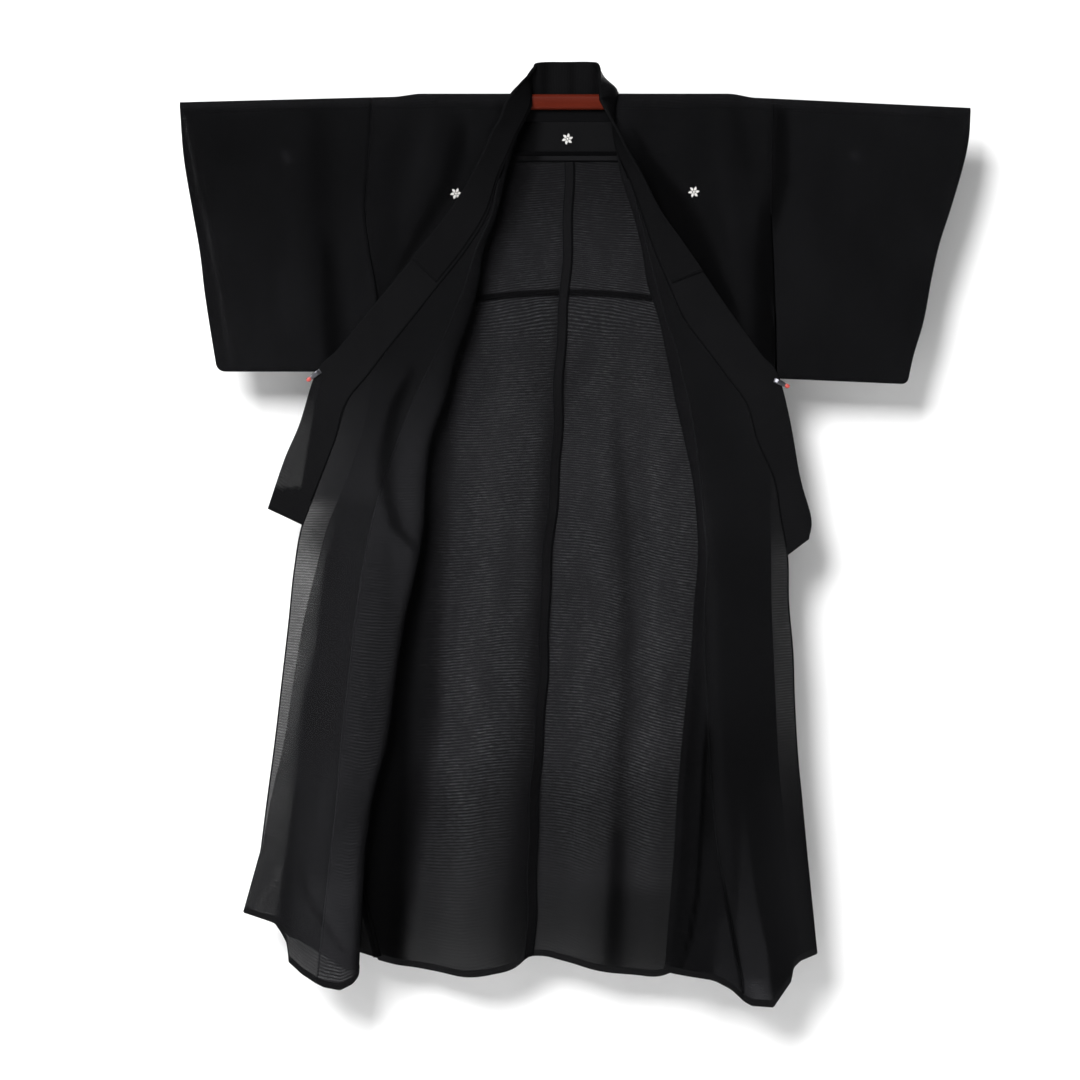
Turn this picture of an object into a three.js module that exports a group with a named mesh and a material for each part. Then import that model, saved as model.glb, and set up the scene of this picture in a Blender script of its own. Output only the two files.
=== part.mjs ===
// Unlined mourning kimono of black silk gauze, hung on a lacquered bar with its fronts turned back
// and clipped to the sleeves. Millimetres, +Z up, the front faces -Y, +X is to the viewer's right.
// The origin is the middle of the bar. "Left" and "right" are the viewer's, seen from the front.
import * as THREE from 'three';

// ---------------------------------------------------------------- driving sizes
const WALL = 1.2;              // cloth wall
const COLLAR_WALL = 2.0;       // collar, cloth folded double
const GAP = 0.3;               // clearance where pieces meet
const SEAM = WALL / 2 + GAP;   // from a seam line to the middle of a wall lying on it

const BAR_HEIGHT = 27;         // centre bar, an oval section
const BAR_DEPTH = 14;
const BAR_HALF = 240;          // half its length
const ARM_HEIGHT = 20;         // drawn-out end arms, inside the sleeves
const ARM_DEPTH = 11;
const ARM_END = 665;           // where each arm ends, measured across
const ARM_DROOP = { left: 1.45, right: 2.7 };   // degrees
const RIDGE_FLAT = 268;        // cloth stays level over the bar's end up to here
const RIDGE_ARM = 320;         // and lies on the arm from here

const LAYER = BAR_DEPTH / 2 + SEAM;            // cloth's middle, front or back of the bar
const SIDE_SEAM = -345;        // side seam starts here, below the open underarm
const CUFF_END = 0.5;          // share of the sleeve's height that the cuff is open
const SLEEVE_BULGE = 3;        // how far a sleeve's walls belly out

const NECK_DEPTH = -32;        // back neck, the collar's seam at the centre back
const LINING_END = -103;       // shoulder lining's lower edge
const TUCK_HEIGHT = -333;      // waist tuck at the centre back
const TUCK_DEPTH = 4;          // how far it stands out on the inside
const TUCK_HALF = 5;           // half its height
const SEAM_HALF = 8;           // half the width of the centre-back allowance

// ---------------------------------------------------------------- the fronts, one row for each height
// side: side seam. fold: outward fold behind the turned-back front. roll: where the front turns back.
// join: front to overlap panel. edge: collar seam, and below the collar's tip the free front edge.
// turn: degrees that the cloth has turned at the roll. radius: of the roll. near, far: depth of the
// outer layer at the roll, and of the turned-back layer at its edge.
const FRONT_COLUMNS = ['z', 'side', 'fold', 'roll', 'join', 'edge', 'turn', 'radius', 'near', 'far'];
const FRONT_LEFT = table(FRONT_COLUMNS, [
  [-10, -355, -355, -78, -76, -76, 80, 4, -9, -20],
  [-32, -356.3, -356, -86, -84, -84, 115, 6, -9, -22],
  [-61, -358, -358, -98, -96, -96, 138, 7, -9, -22],
  [-88, -359.6, -360, -108, -106, -106, 152, 7, -9, -22],
  [-136, -362.4, -362, -122, -131, -134, 180, 6, -9, -22],
  [-198, -366, -366, -136, -145, -153, 180, 6, -10, -22],
  [-259, -358.5, -358.5, -158, -172, -190, 180, 6, -10, -22],
  [-320, -348.5, -348.5, -168, -191, -238, 180, 6, -11, -21],
  [-382, -345, -347, -184, -215, -287, 180, 6, -11, -20],
  [-434, -341, -349, -203, -238, -329, 180, 7, -12, -18],
  [-478, -341, -352, -215, -260, -363, 180, 7, -12, -15],
  [-522, -343, -359, -226, -281, -398, 180, 8, -12, -12],
  [-592, -346, -376, -250, -308, -420, 180, 8, -12, -13],
  [-665, -352, -401, -259, -334, -448, 180, 8, -12, -14],
  [-740, -357, -432, -263, -355, -476, 180, 8, -13, -15],
  [-819, -364, -453, -276, -370, -490, 180, 9, -13, -16],
  [-906, -371, -474, -296, -383, -499, 180, 9, -13, -17],
  [-1012, -376, -492, -313, -395, -511, 180, 9, -14, -18],
  [-1116, -382, -508, -327, -407, -523, 180, 10, -14, -19],
  [-1222, -387, -532, -354, -415, -537, 180, 10, -15, -20],
  [-1309, -392, -547, -366, -425, -548, 180, 11, -15, -21],
]);
const FRONT_RIGHT = table(FRONT_COLUMNS, [
  [-10, 346, 346, 70, 68, 68, 50, 5, -9, -20],
  [-32, 345.5, 346, 68, 66, 66, 76, 7, -9, -24],
  [-61, 344.9, 345, 68, 67, 67, 96, 7, -9, -24],
  [-88, 344.3, 345, 72, 72, 72, 118, 7, -9, -24],
  [-136, 343.3, 343, 82, 92, 95, 180, 7, -9, -24],
  [-198, 342.5, 343, 102, 112, 117, 180, 6, -10, -23],
  [-259, 345.5, 346, 117, 127, 138, 180, 6, -10, -22],
  [-320, 348, 348.5, 127, 142, 164, 180, 6, -11, -21],
  [-382, 349.3, 350, 147, 159, 192, 180, 6, -11, -20],
  [-434, 349.8, 350.5, 158, 177, 231, 180, 7, -12, -18],
  [-478, 348, 349.5, 167, 187, 264, 180, 7, -12, -15],
  [-522, 340, 345, 175, 198, 297, 180, 8, -12, -12],
  [-592, 331, 342, 191, 210, 319, 180, 8, -12, -13],
  [-665, 324, 342, 206, 219, 350, 180, 8, -12, -14],
  [-721, 320, 342, 212, 224, 359, 180, 8, -13, -15],
  [-793, 317, 343, 215, 230, 371, 180, 9, -13, -16],
  [-878, 312, 344, 208, 226, 373, 180, 9, -13, -17],
  [-959, 306, 347, 203, 226, 380, 180, 9, -14, -18],
  [-1046, 299, 351, 194, 230, 383, 180, 10, -14, -19],
  [-1150, 290, 356, 184, 235, 389, 180, 10, -15, -20],
  [-1222, 284, 362, 178, 240, 396, 180, 10, -15, -20],
  [-1309, 275, 371, 173, 248, 404, 180, 11, -15, -21],
]);

// Hem heights at the named lines of a front; the free corner is lifted by the clip above it.
const FRONT_HEM = {
  left: {
    side: [-345, -1498], fold: [-577, -1417], roll: [-377, -1518], join: [-450, -1539],
    edge: [-578, -1416],
  },
  right: {
    side: [259, -1499], fold: [396, -1498], roll: [157, -1512], join: [293, -1538],
    edge: [422, -1488],
  },
};
// How far the hem hangs below the straight line from overlap seam to free corner: place, drop, width.
const HEM_DROPS = {
  left: [{ at: -500, drop: 14, width: 30 }],
  right: [{ at: 340, drop: 64, width: 34 }],
};

// ---------------------------------------------------------------- the back
const CENTRE_BACK = table(['z', 'x'], [
  [NECK_DEPTH, -7], [-105, -7], [-341, -19], [-556, -28], [-766, -44], [-942, -52], [-1111, -63],
  [-1222, -68], [-1500, -80],
]);
// Back hem, measured across: its dips are the cloth's main waves.
const BACK_HEM = table(['x', 'z'], [
  [-345, -1500], [-303, -1512], [-240, -1522], [-189, -1531], [-147, -1527], [-103, -1514],
  [-80, -1496], [-61, -1494], [-19, -1503], [37, -1519], [108, -1528], [147, -1530], [186, -1517],
  [259, -1499],
]);
const BACK_HEIGHTS = [-60, LINING_END, -200, -300, 'tuck', -400, -520, -660, -820, -1000, -1180, -1340];
const BACK_FOOT = -1500;       // the hem's mean height
// Vertical waves of the back: where at the top and at the hem, how wide, how deep (+ is backwards).
const BACK_WAVES = [
  { top: -215, hem: -285, start: -450, width: 34, depth: 24 },
  { top: -110, hem: -170, start: -380, width: 42, depth: -9 },
  { top: 85, hem: 95, start: -330, width: 26, depth: 8 },
  { top: 160, hem: 60, start: -600, width: 40, depth: -8 },
  { top: 230, hem: 215, start: -450, width: 32, depth: 16 },
];

// ---------------------------------------------------------------- the collar, one row for each station
// seam: the edge sewn to the body, edge: the free edge. Only the neck's rows state their seam; on the
// fronts it follows the front's own edge.
const NECK = table(['seamX', 'seamY', 'seamZ', 'midX', 'midY', 'midZ', 'edgeX', 'edgeY', 'edgeZ'], [
  [-77, -11, 7, -91, -30, 13, -112, -48, 7],
  [-77, -8, 15, -88, -27, 25, -104, -46, 17],
  [-77, 0, 18.5, -85, -18, 35, -95, -38, 26],
  [-77, 8.5, 15.5, -79, -2, 41, -85, -22, 38],
  [-75, 11, 4, -77, 8, 40, -78, -8, 50],
  [-67, 11, -12, -73, 11.5, 28, -71, 2, 60],
  [-44, 11, -26, -57, 13, 22, -62, 10, 69],
  [-11, 11, -31, -12, 13, 20, -12, 15, 70],
  [24, 11, -28, 27, 13, 22, 28, 11, 70],
  [50, 11, -12, 43, 11.5, 28, 39, 1, 66],
  [67, 11, 4, 49, 8, 42, 43, -10, 55],
  [73, 8.5, 15.5, 51, -2, 41, 43, -26, 44],
  [74, 0, 18.5, 56, -18, 33, 43, -42, 30],
  [73, -8, 15, 62, -28, 24, 43, -48, 14],
  [72, -11, 7, 62, -31, 10, 44, -51, 3],
]);
const EDGE_COLUMNS = ['x', 'y', 'z'];
const COLLAR_EDGE_LEFT = table(EDGE_COLUMNS, [
  [-121, -50, -7], [-130, -50, -33], [-144, -48, -56], [-156, -46, -84], [-177, -40, -124],
  [-201, -32, -166], [-236, -25, -214], [-285, -21, -275], [-338, -19, -340], [-378, -16, -388],
  [-416, -11, -434], [-452, -4, -472], [-481, -6, -562], [-508, -9, -626], [-537, -11, -712],
]);
const COLLAR_EDGE_RIGHT = table(EDGE_COLUMNS, [
  [46, -51, -4], [61, -58, -32], [77, -60, -61], [91, -56, -88], [117, -46, -131],
  [149, -36, -191], [186, -29, -243], [224, -24, -298], [262, -21, -354], [298, -17, -404],
  [327, -12, -443], [355, -4, -476], [376, -6, -556], [394, -9, -658], [413, -11, -728], [409, -12, -765],
]);
const OVER_COLLAR_END = { left: 7, right: 7 };   // station on each front where the over-collar stops

// ---------------------------------------------------------------- the sleeves, one row for each height
// outer: cuff edge. inner: edge beside the body.
const SLEEVE_COLUMNS = ['share', 'outer', 'inner'];
const SLEEVES = {
  left: {
    bottom: [-472, -472], corner: 16,
    rows: table(SLEEVE_COLUMNS, [
      [0, -691, -355], [0.2, -684, -360], [0.4, -669, -366.6], [0.55, -657, -359.8],
      [0.68, -650, -350.6], [0.76, -645, -348.6], [0.88, -637, -350], [1, -628, -352],
    ]),
    trough: { top: -455, bottom: -430, width: 24, depth: 7 },
  },
  right: {
    bottom: [-484, -494], corner: 13,
    rows: table(SLEEVE_COLUMNS, [
      [0, 692, 346.4], [0.08, 690, 345.8], [0.15, 685, 345.2], [0.22, 677, 344.6], [0.36, 658, 343.6],
      [0.51, 636, 346.6], [0.63, 624, 349.6], [0.79, 610, 352], [0.93, 591, 353], [1, 584, 354],
    ]),
    trough: { top: 362, bottom: 352, width: 20, depth: 5 },
  },
};

// ---------------------------------------------------------------- the clips
// lean: the way its handles point, in degrees from +X.
const CLIPS = [
  { name: 'clip_left', at: [-450, -474], lean: 217 },
  { name: 'clip_right', at: [354, -489], lean: -25 },
];
const CLIP = {
  bite: 6, handle: 15, width: 9, plate: 1.2,    // the two plates
  front: -7.2, back: 2.6,                       // depths of their inner faces
  tip: 8, tipThick: 2.2,
  coil: 2.6, coilAt: 12.2,                      // the spring's radius and place
};

// ---------------------------------------------------------------- colours
const SILK = new THREE.MeshStandardMaterial({ color: 0x1a1a1c, roughness: 0.8, metalness: 0 });
const LACQUER = new THREE.MeshStandardMaterial({ color: 0x6d2a1a, roughness: 0.35, metalness: 0 });
const CHROME = new THREE.MeshStandardMaterial({ color: 0xb9b9bc, roughness: 0.3, metalness: 1 });
const RUBBER = new THREE.MeshStandardMaterial({ color: 0xb43a3a, roughness: 0.6, metalness: 0 });

const kimono = new THREE.Group();

// ---------------------------------------------------------------- helpers

// Rows of bare values into rows with named columns.
function table(columns, rows) {
  return rows.map((row) => Object.fromEntries(columns.map((name, i) => [name, row[i]])));
}

function lerp(a, b, t) {
  return a + (b - a) * t;
}

function smooth(from, to, value) {
  const t = Math.min(1, Math.max(0, (value - from) / (to - from)));
  return t * t * (3 - 2 * t);
}

function bell(distance, width) {
  return Math.exp(-((distance / width) ** 2));
}

// Straight-line reading of one column against another.
function read(rows, from, to, value) {
  const up = rows[0][from] < rows[rows.length - 1][from];
  const sorted = up ? rows : [...rows].reverse();
  if (value <= sorted[0][from]) return sorted[0][to];
  for (let i = 1; i < sorted.length; i += 1) {
    const [a, b] = [sorted[i - 1], sorted[i]];
    if (value <= b[from]) return lerp(a[to], b[to], (value - a[from]) / (b[from] - a[from]));
  }
  return sorted[sorted.length - 1][to];
}

// Unit normals of a grid of points, from the neighbours along and across.
function normals(grid) {
  const rows = grid.length;
  const columns = grid[0].length;
  const at = (i, j) => grid[Math.min(rows - 1, Math.max(0, i))][Math.min(columns - 1, Math.max(0, j))];
  return grid.map((line, i) => line.map((_, j) => {
    const along = at(i + 1, j).clone().sub(at(i - 1, j)).normalize();
    const across = at(i, j + 1).clone().sub(at(i, j - 1)).normalize();
    return along.cross(across).normalize();
  }));
}

// A closed wall from a grid of points: each point moves half the wall along its normal, both ways, and
// the four borders are closed. offset lifts the whole wall off the grid, along the same normals.
function wall(grid, thickness, offset = 0) {
  const rows = grid.length;
  const columns = grid[0].length;
  const normal = normals(grid);
  const corners = [];
  for (const side of [0.5, -0.5]) {
    for (let i = 0; i < rows; i += 1) {
      for (let j = 0; j < columns; j += 1) {
        corners.push(grid[i][j].clone().addScaledVector(normal[i][j], offset + side * thickness));
      }
    }
  }
  const id = (side, i, j) => side * rows * columns + i * columns + j;
  const quads = [];
  for (let i = 0; i + 1 < rows; i += 1) {
    for (let j = 0; j + 1 < columns; j += 1) {
      quads.push([id(0, i, j), id(0, i + 1, j), id(0, i + 1, j + 1), id(0, i, j + 1)]);
      quads.push([id(1, i, j), id(1, i, j + 1), id(1, i + 1, j + 1), id(1, i + 1, j)]);
    }
  }
  for (let i = 0; i + 1 < rows; i += 1) {
    quads.push([id(0, i, 0), id(1, i, 0), id(1, i + 1, 0), id(0, i + 1, 0)]);
    const last = columns - 1;
    quads.push([id(0, i, last), id(0, i + 1, last), id(1, i + 1, last), id(1, i, last)]);
  }
  for (let j = 0; j + 1 < columns; j += 1) {
    quads.push([id(0, 0, j), id(0, 0, j + 1), id(1, 0, j + 1), id(1, 0, j)]);
    const last = rows - 1;
    quads.push([id(0, last, j), id(1, last, j), id(1, last, j + 1), id(0, last, j + 1)]);
  }
  return solid(corners, quads);
}

// A bent strip carried from station to station. Each section goes along its outside and back along
// its inside. crossed says which lengthways bands take the other diagonal.
function sweep(sections, crossed) {
  const count = sections[0].length;
  const corners = sections.flat();
  const quads = [];
  for (let i = 0; i + 1 < sections.length; i += 1) {
    for (let j = 0; j < count; j += 1) {
      const k = (j + 1) % count;
      const quad = [i * count + j, (i + 1) * count + j, (i + 1) * count + k, i * count + k];
      quads.push(crossed(j) ? [quad[3], quad[0], quad[1], quad[2]] : quad);
    }
  }
  const end = (sections.length - 1) * count;
  for (let j = 0; j + 1 < count / 2; j += 1) {
    const [a, b, c, d] = [j, j + 1, count - 2 - j, count - 1 - j];
    quads.push([a, b, c, d]);
    quads.push([end + d, end + c, end + b, end + a]);
  }
  return solid(corners, quads);
}

// Quads into a closed geometry whose faces point out.
function solid(corners, quads) {
  const index = [];
  let volume = 0;
  const face = (a, b, c) => {
    index.push(a, b, c);
    volume += corners[a].dot(corners[b].clone().cross(corners[c]));
  };
  for (const [a, b, c, d] of quads) {
    face(a, b, c);
    face(a, c, d);
  }
  if (volume < 0) index.reverse();
  const geometry = new THREE.BufferGeometry();
  const numbers = corners.flatMap((p) => [p.x, p.y, p.z]);
  geometry.setAttribute('position', new THREE.Float32BufferAttribute(numbers, 3));
  geometry.setIndex(index);
  geometry.computeVertexNormals();
  return geometry;
}

function add(name, geometry, material) {
  const mesh = new THREE.Mesh(geometry, material);
  mesh.name = name;
  kimono.add(mesh);
  return mesh;
}

// ---------------------------------------------------------------- hanger

// Oval section, eight facets round each end, a corner straight up and down.
function ovalShape(height, depth) {
  const radius = depth / 2;
  const shape = new THREE.Shape();
  const points = [];
  for (let i = 0; i <= 4; i += 1) {
    const angle = (i * Math.PI) / 4;
    points.push([radius * Math.cos(angle), height / 2 - radius + radius * Math.sin(angle)]);
  }
  for (let i = 0; i <= 4; i += 1) {
    const angle = Math.PI + (i * Math.PI) / 4;
    points.push([radius * Math.cos(angle), radius - height / 2 + radius * Math.sin(angle)]);
  }
  points.forEach(([x, y], i) => (i ? shape.lineTo(x, y) : shape.moveTo(x, y)));
  shape.closePath();
  return shape;
}

// A straight bar along +X from its own origin.
function bar(height, depth, length) {
  const straight = { depth: length, bevelEnabled: false };
  const geometry = new THREE.ExtrudeGeometry(ovalShape(height, depth), straight);
  geometry.rotateX(Math.PI / 2);
  geometry.rotateZ(Math.PI / 2);
  return geometry;
}

function buildHanger() {
  const centre = add('hanger_bar', bar(BAR_HEIGHT, BAR_DEPTH, 2 * BAR_HALF), LACQUER);
  centre.position.x = -BAR_HALF;
  for (const [side, sign] of [['left', -1], ['right', 1]]) {
    const droop = THREE.MathUtils.degToRad(ARM_DROOP[side]);
    const length = (ARM_END - BAR_HALF - 1) / Math.cos(droop);
    const arm = add(`hanger_arm_${side}`, bar(ARM_HEIGHT, ARM_DEPTH, length), LACQUER);
    arm.position.x = sign * (BAR_HALF + GAP + ARM_HEIGHT / 2 * Math.sin(droop));
    arm.rotation.set(0, sign * droop, sign < 0 ? Math.PI : 0);
  }
}

// Height of the cloth's middle where it goes over the bar and its arms.
function ridge(x) {
  const across = Math.abs(x);
  const droop = THREE.MathUtils.degToRad(x < 0 ? ARM_DROOP.left : ARM_DROOP.right);
  const overBar = BAR_HEIGHT / 2 + SEAM;
  const overArm = ARM_HEIGHT / 2 + SEAM - (Math.max(across, RIDGE_ARM) - BAR_HALF) * Math.tan(droop);
  return lerp(overBar, overArm, smooth(RIDGE_FLAT, RIDGE_ARM, across));
}

// The cloth's half turn over the bar, five rows from front to back.
function overBar(x, turn) {
  const angle = (turn * Math.PI) / 4;
  return new THREE.Vector3(x, -LAYER * Math.cos(angle), ridge(x) - LAYER + LAYER * Math.sin(angle));
}

// ---------------------------------------------------------------- the back

const sideAt = {
  left: (z) => read(FRONT_LEFT, 'z', 'side', z),
  right: (z) => read(FRONT_RIGHT, 'z', 'side', z),
};

// Depth of the back: against the bar at the top, waved below, drawn in at the side seams.
function backDepth(x, z) {
  const fall = smooth(-40, -1500, z);
  const centre = read(CENTRE_BACK, 'z', 'x', z);
  const calm = 1 - bell(x - centre, 45);
  let depth = LAYER + 3 * fall;
  for (const wave of BACK_WAVES) {
    const at = lerp(wave.top, wave.hem, -z / 1500);
    depth += wave.depth * bell(x - at, wave.width) * smooth(wave.start, -1450, z) * calm;
  }
  const side = x < centre ? sideAt.left(z) : sideAt.right(z);
  const near = 1 - smooth(0, 70, Math.abs(x - side));
  const sewn = smooth(SIDE_SEAM + 90, SIDE_SEAM - 20, z);
  return lerp(depth, SEAM + 0.4, near * sewn);
}

function tuckArch(x) {
  return TUCK_HEIGHT - 0.00045 * (x + 15) ** 2;
}

// The back's rows below the neck: height, how far the tuck stands in, and how the row bends across.
function backRowList() {
  const flat = () => 0;
  const arch = (x) => tuckArch(x) - TUCK_HEIGHT;
  const rows = [];
  for (const z of BACK_HEIGHTS) {
    if (z === 'tuck') {
      rows.push({ z: TUCK_HEIGHT + TUCK_HALF + 2, shift: 0, bend: arch });
      rows.push({ z: TUCK_HEIGHT + TUCK_HALF - 1, shift: TUCK_DEPTH, bend: arch });
      rows.push({ z: TUCK_HEIGHT - TUCK_HALF + 1, shift: TUCK_DEPTH, bend: arch });
      rows.push({ z: TUCK_HEIGHT - TUCK_HALF - 2, shift: 0, bend: arch });
    } else {
      rows.push({ z, shift: 0, bend: flat });
    }
  }
  const last = BACK_HEIGHTS[BACK_HEIGHTS.length - 1];
  for (const share of [0.5, 1]) {
    const bend = (x) => share * (read(BACK_HEM, 'x', 'z', x) - BACK_FOOT);
    rows.push({ z: lerp(last, BACK_FOOT, share), shift: 0, bend });
  }
  return rows;
}

function backPoint(x, { z, shift, bend }) {
  const height = z + bend(x);
  return new THREE.Vector3(x, backDepth(x, height) - shift, height);
}

// Rows of one half of the back, from the neck down, each from the side to the centre.
function backRows(side, shares) {
  const sign = side === 'left' ? -1 : 1;
  const neckX = side === 'left' ? NECK[0].seamX : NECK[NECK.length - 1].seamX;
  const line = (row, centreX) => shares.map((t) => backPoint(lerp(sideAt[side](row.z), centreX, t), row));
  const middle = CENTRE_BACK[0].x + sign * GAP / 2;
  const top = ridge(0) - LAYER;
  const rows = [1, 2, 3].map((step) => {
    const angle = (step * Math.PI) / 6;
    const row = { z: lerp(top, NECK_DEPTH, Math.sin(angle)), shift: 0, bend: () => 0 };
    return line(row, middle + (neckX - middle) * Math.cos(angle));
  });
  for (const row of backRowList()) rows.push(line(row, read(CENTRE_BACK, 'z', 'x', row.z) + sign * GAP / 2));
  return rows;
}

// ---------------------------------------------------------------- the fronts

const STEPS = { wing: 2, outer: 5, roll: 4, inner: 2 };   // columns of a front between its named lines

// The front's section at one height: from the side seam out to the fold, in to the roll, round it and
// back out to the overlap panel's seam.
function frontSection(row, sign) {
  const points = [];
  const put = (x, y) => points.push(new THREE.Vector3(x, y, row.z));
  const inward = -sign;
  const folded = smooth(SIDE_SEAM + 20, SIDE_SEAM - 60, row.z);
  const sideY = lerp(-LAYER, -SEAM - 0.4, smooth(SIDE_SEAM + 90, SIDE_SEAM - 20, row.z));
  const turned = THREE.MathUtils.degToRad(row.turn);
  const reach = turned > Math.PI / 2 ? row.radius : row.radius * Math.sin(turned);
  const tail = row.turn < 90 ? Math.abs(row.join - row.roll) * Math.cos(turned) : 0;
  const arcX = row.roll - inward * (reach + tail);
  // side seam to fold: straight on where there is no fold yet
  const foldY = lerp(-LAYER, lerp(-3.2, -7, smooth(-600, -1000, row.z)), folded);
  for (let i = 0; i < STEPS.wing; i += 1) {
    const t = i / STEPS.wing;
    const folding = { x: lerp(row.side, row.fold, t), y: lerp(sideY, foldY + 1.2, t) };
    const plain = { x: row.side + inward * 8 * i, y: sideY };
    put(lerp(plain.x, folding.x, folded), lerp(plain.y, folding.y, folded));
  }
  // fold to roll
  const startX = lerp(row.side + inward * 8 * STEPS.wing, row.fold, folded);
  const startY = lerp(sideY, foldY, folded);
  for (let i = 0; i < STEPS.outer; i += 1) {
    const t = i / STEPS.outer;
    put(lerp(startX, arcX, t), lerp(startY, row.near, smooth(0, 0.9, t)));
  }
  // the roll
  for (let i = 0; i <= STEPS.roll; i += 1) {
    const angle = (turned * i) / STEPS.roll;
    put(arcX + inward * row.radius * Math.sin(angle), row.near - row.radius * (1 - Math.cos(angle)));
  }
  // back out to the overlap seam
  const end = points[points.length - 1];
  const joinY = row.turn < 180 ? end.y - 2 * Math.sin(turned) : lapelDepth(row, row.join);
  const joinX = row.turn < 180 ? end.x + inward * 2 * Math.cos(turned) : row.join;
  for (let i = 1; i <= STEPS.inner; i += 1) {
    const t = i / STEPS.inner;
    put(lerp(end.x, joinX, t), lerp(end.y, joinY, t));
  }
  return points;
}

// Depth of the turned-back layer between the roll and its outer edge.
function lapelDepth(row, x) {
  const start = row.near - 2 * row.radius;
  const share = Math.abs(x - row.roll) / Math.max(1, Math.abs(row.edge - row.roll));
  return lerp(start, row.far, smooth(0, 1, Math.min(1, share)));
}

// The last row of a front's table, let down to the hem.
function hemRow(rows, side, share) {
  const last = rows[rows.length - 1];
  const hem = FRONT_HEM[side];
  const row = { ...last, z: lerp(last.z, -1500, share) };
  for (const line of ['side', 'fold', 'roll', 'join', 'edge']) {
    row[line] = lerp(last[line], hem[line][0], share);
  }
  return row;
}

function hemHeight(side, j) {
  const hem = FRONT_HEM[side];
  const toFold = STEPS.wing;
  const toRoll = STEPS.wing + STEPS.outer + STEPS.roll / 2;
  const toJoin = STEPS.wing + STEPS.outer + STEPS.roll + STEPS.inner;
  if (j <= toFold) return lerp(hem.side[1], hem.fold[1], j / toFold);
  if (j <= toRoll) return lerp(hem.fold[1], hem.roll[1], (j - toFold) / (toRoll - toFold));
  return lerp(hem.roll[1], hem.join[1], (j - toRoll) / (toJoin - toRoll));
}

function frontRows(side) {
  const sign = side === 'left' ? -1 : 1;
  const tableRows = side === 'left' ? FRONT_LEFT : FRONT_RIGHT;
  const rows = tableRows.map((row) => frontSection(row, sign));
  for (const share of [0.5, 1]) {
    const section = frontSection(hemRow(tableRows, side, share), sign);
    const last = tableRows[tableRows.length - 1].z;
    section.forEach((point, j) => {
      point.z = lerp(last, hemHeight(side, j), share);
    });
    rows.push(section);
  }
  return rows;
}

// One body length: up the front, over the bar and down the back.
function bodyGrid(side) {
  const sign = side === 'left' ? -1 : 1;
  const front = frontRows(side);
  const topRow = front[0];
  const neckX = sign < 0 ? NECK[0].seamX : NECK[NECK.length - 1].seamX;
  const sideX = topRow[0].x;
  const count = topRow.length - 1;
  const shares = topRow.map((point) => (point.x - sideX) / (topRow[count].x - sideX));
  const even = shares.map((share, j) => lerp(share, j / count, 0.9));
  const over = [];
  for (let turn = 0; turn <= 4; turn += 1) {
    over.push(shares.map((share) => overBar(lerp(sideX, neckX, share), turn)));
  }
  const back = backRows(side, even);
  return [...front.reverse(), ...over, ...back];
}

// ---------------------------------------------------------------- overlap panels

const OKUMI_TOP = -136;
const OKUMI_STEPS = 5;

function okumiGrid(side, rows) {
  const sign = side === 'left' ? -1 : 1;
  const hem = FRONT_HEM[side];
  const grid = [];
  const section = (row, height) => {
    const points = [];
    for (let j = 0; j <= OKUMI_STEPS; j += 1) {
      const t = j / OKUMI_STEPS;
      const x = lerp(row.join + sign * GAP, row.edge, t);
      points.push(new THREE.Vector3(x, lapelDepth(row, x), height(x, t)));
    }
    return points;
  };
  for (const row of rows.filter((r) => r.z <= OKUMI_TOP)) grid.push(section(row, () => row.z));
  const last = rows[rows.length - 1].z;
  for (const share of [0.5, 1]) {
    const drop = (x) => HEM_DROPS[side].reduce((sum, d) => sum + d.drop * bell(x - d.at, d.width), 0);
    const foot = (x, t) => lerp(hem.join[1], hem.edge[1], t) - drop(x) * Math.sin(Math.PI * t);
    const height = (x, t) => lerp(last, foot(x, t), share);
    grid.push(section(hemRow(rows, side, share), height));
  }
  return grid;
}

// ---------------------------------------------------------------- collar

const COLLAR_SHARES = [0, 0.09, 0.5, 1];   // across the collar, from its seam to its free edge
const COLLAR_GAP = 1;

// Stations from the left tip, up, round the neck and down to the right tip.
function collarStations() {
  const front = (rows, edges, sign) => edges.map((edge, i) => {
    const row = rows[i];
    const section = frontSection(row, sign);
    const end = section[section.length - 1];
    const turned = THREE.MathUtils.degToRad(row.turn);
    const apart = [sign * COLLAR_GAP * Math.cos(turned), COLLAR_GAP * Math.sin(turned)];
    const seam = row.z > OKUMI_TOP
      ? new THREE.Vector3(end.x - apart[0], end.y - apart[1], row.z)
      : new THREE.Vector3(row.edge + sign * COLLAR_GAP, lapelDepth(row, row.edge), row.z);
    const free = new THREE.Vector3(edge.x, edge.y, edge.z);
    return { seam, mid: seam.clone().lerp(free, 0.5), edge: free };
  });
  const point = (row, part) => new THREE.Vector3(row[`${part}X`], row[`${part}Y`], row[`${part}Z`]);
  const parts = ['seam', 'mid', 'edge'];
  const neck = NECK.map((row) => Object.fromEntries(parts.map((part) => [part, point(row, part)])));
  const left = front(FRONT_LEFT, COLLAR_EDGE_LEFT, -1).reverse();
  const right = front(FRONT_RIGHT, COLLAR_EDGE_RIGHT, 1);
  return [...left, ...neck, ...right];
}

// A point on the curve through a station's seam, middle and free edge.
function acrossCollar({ seam, mid, edge }, t) {
  return seam.clone().multiplyScalar((1 - t) * (1 - 2 * t))
    .addScaledVector(mid, 4 * t * (1 - t))
    .addScaledVector(edge, t * (2 * t - 1));
}

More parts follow.
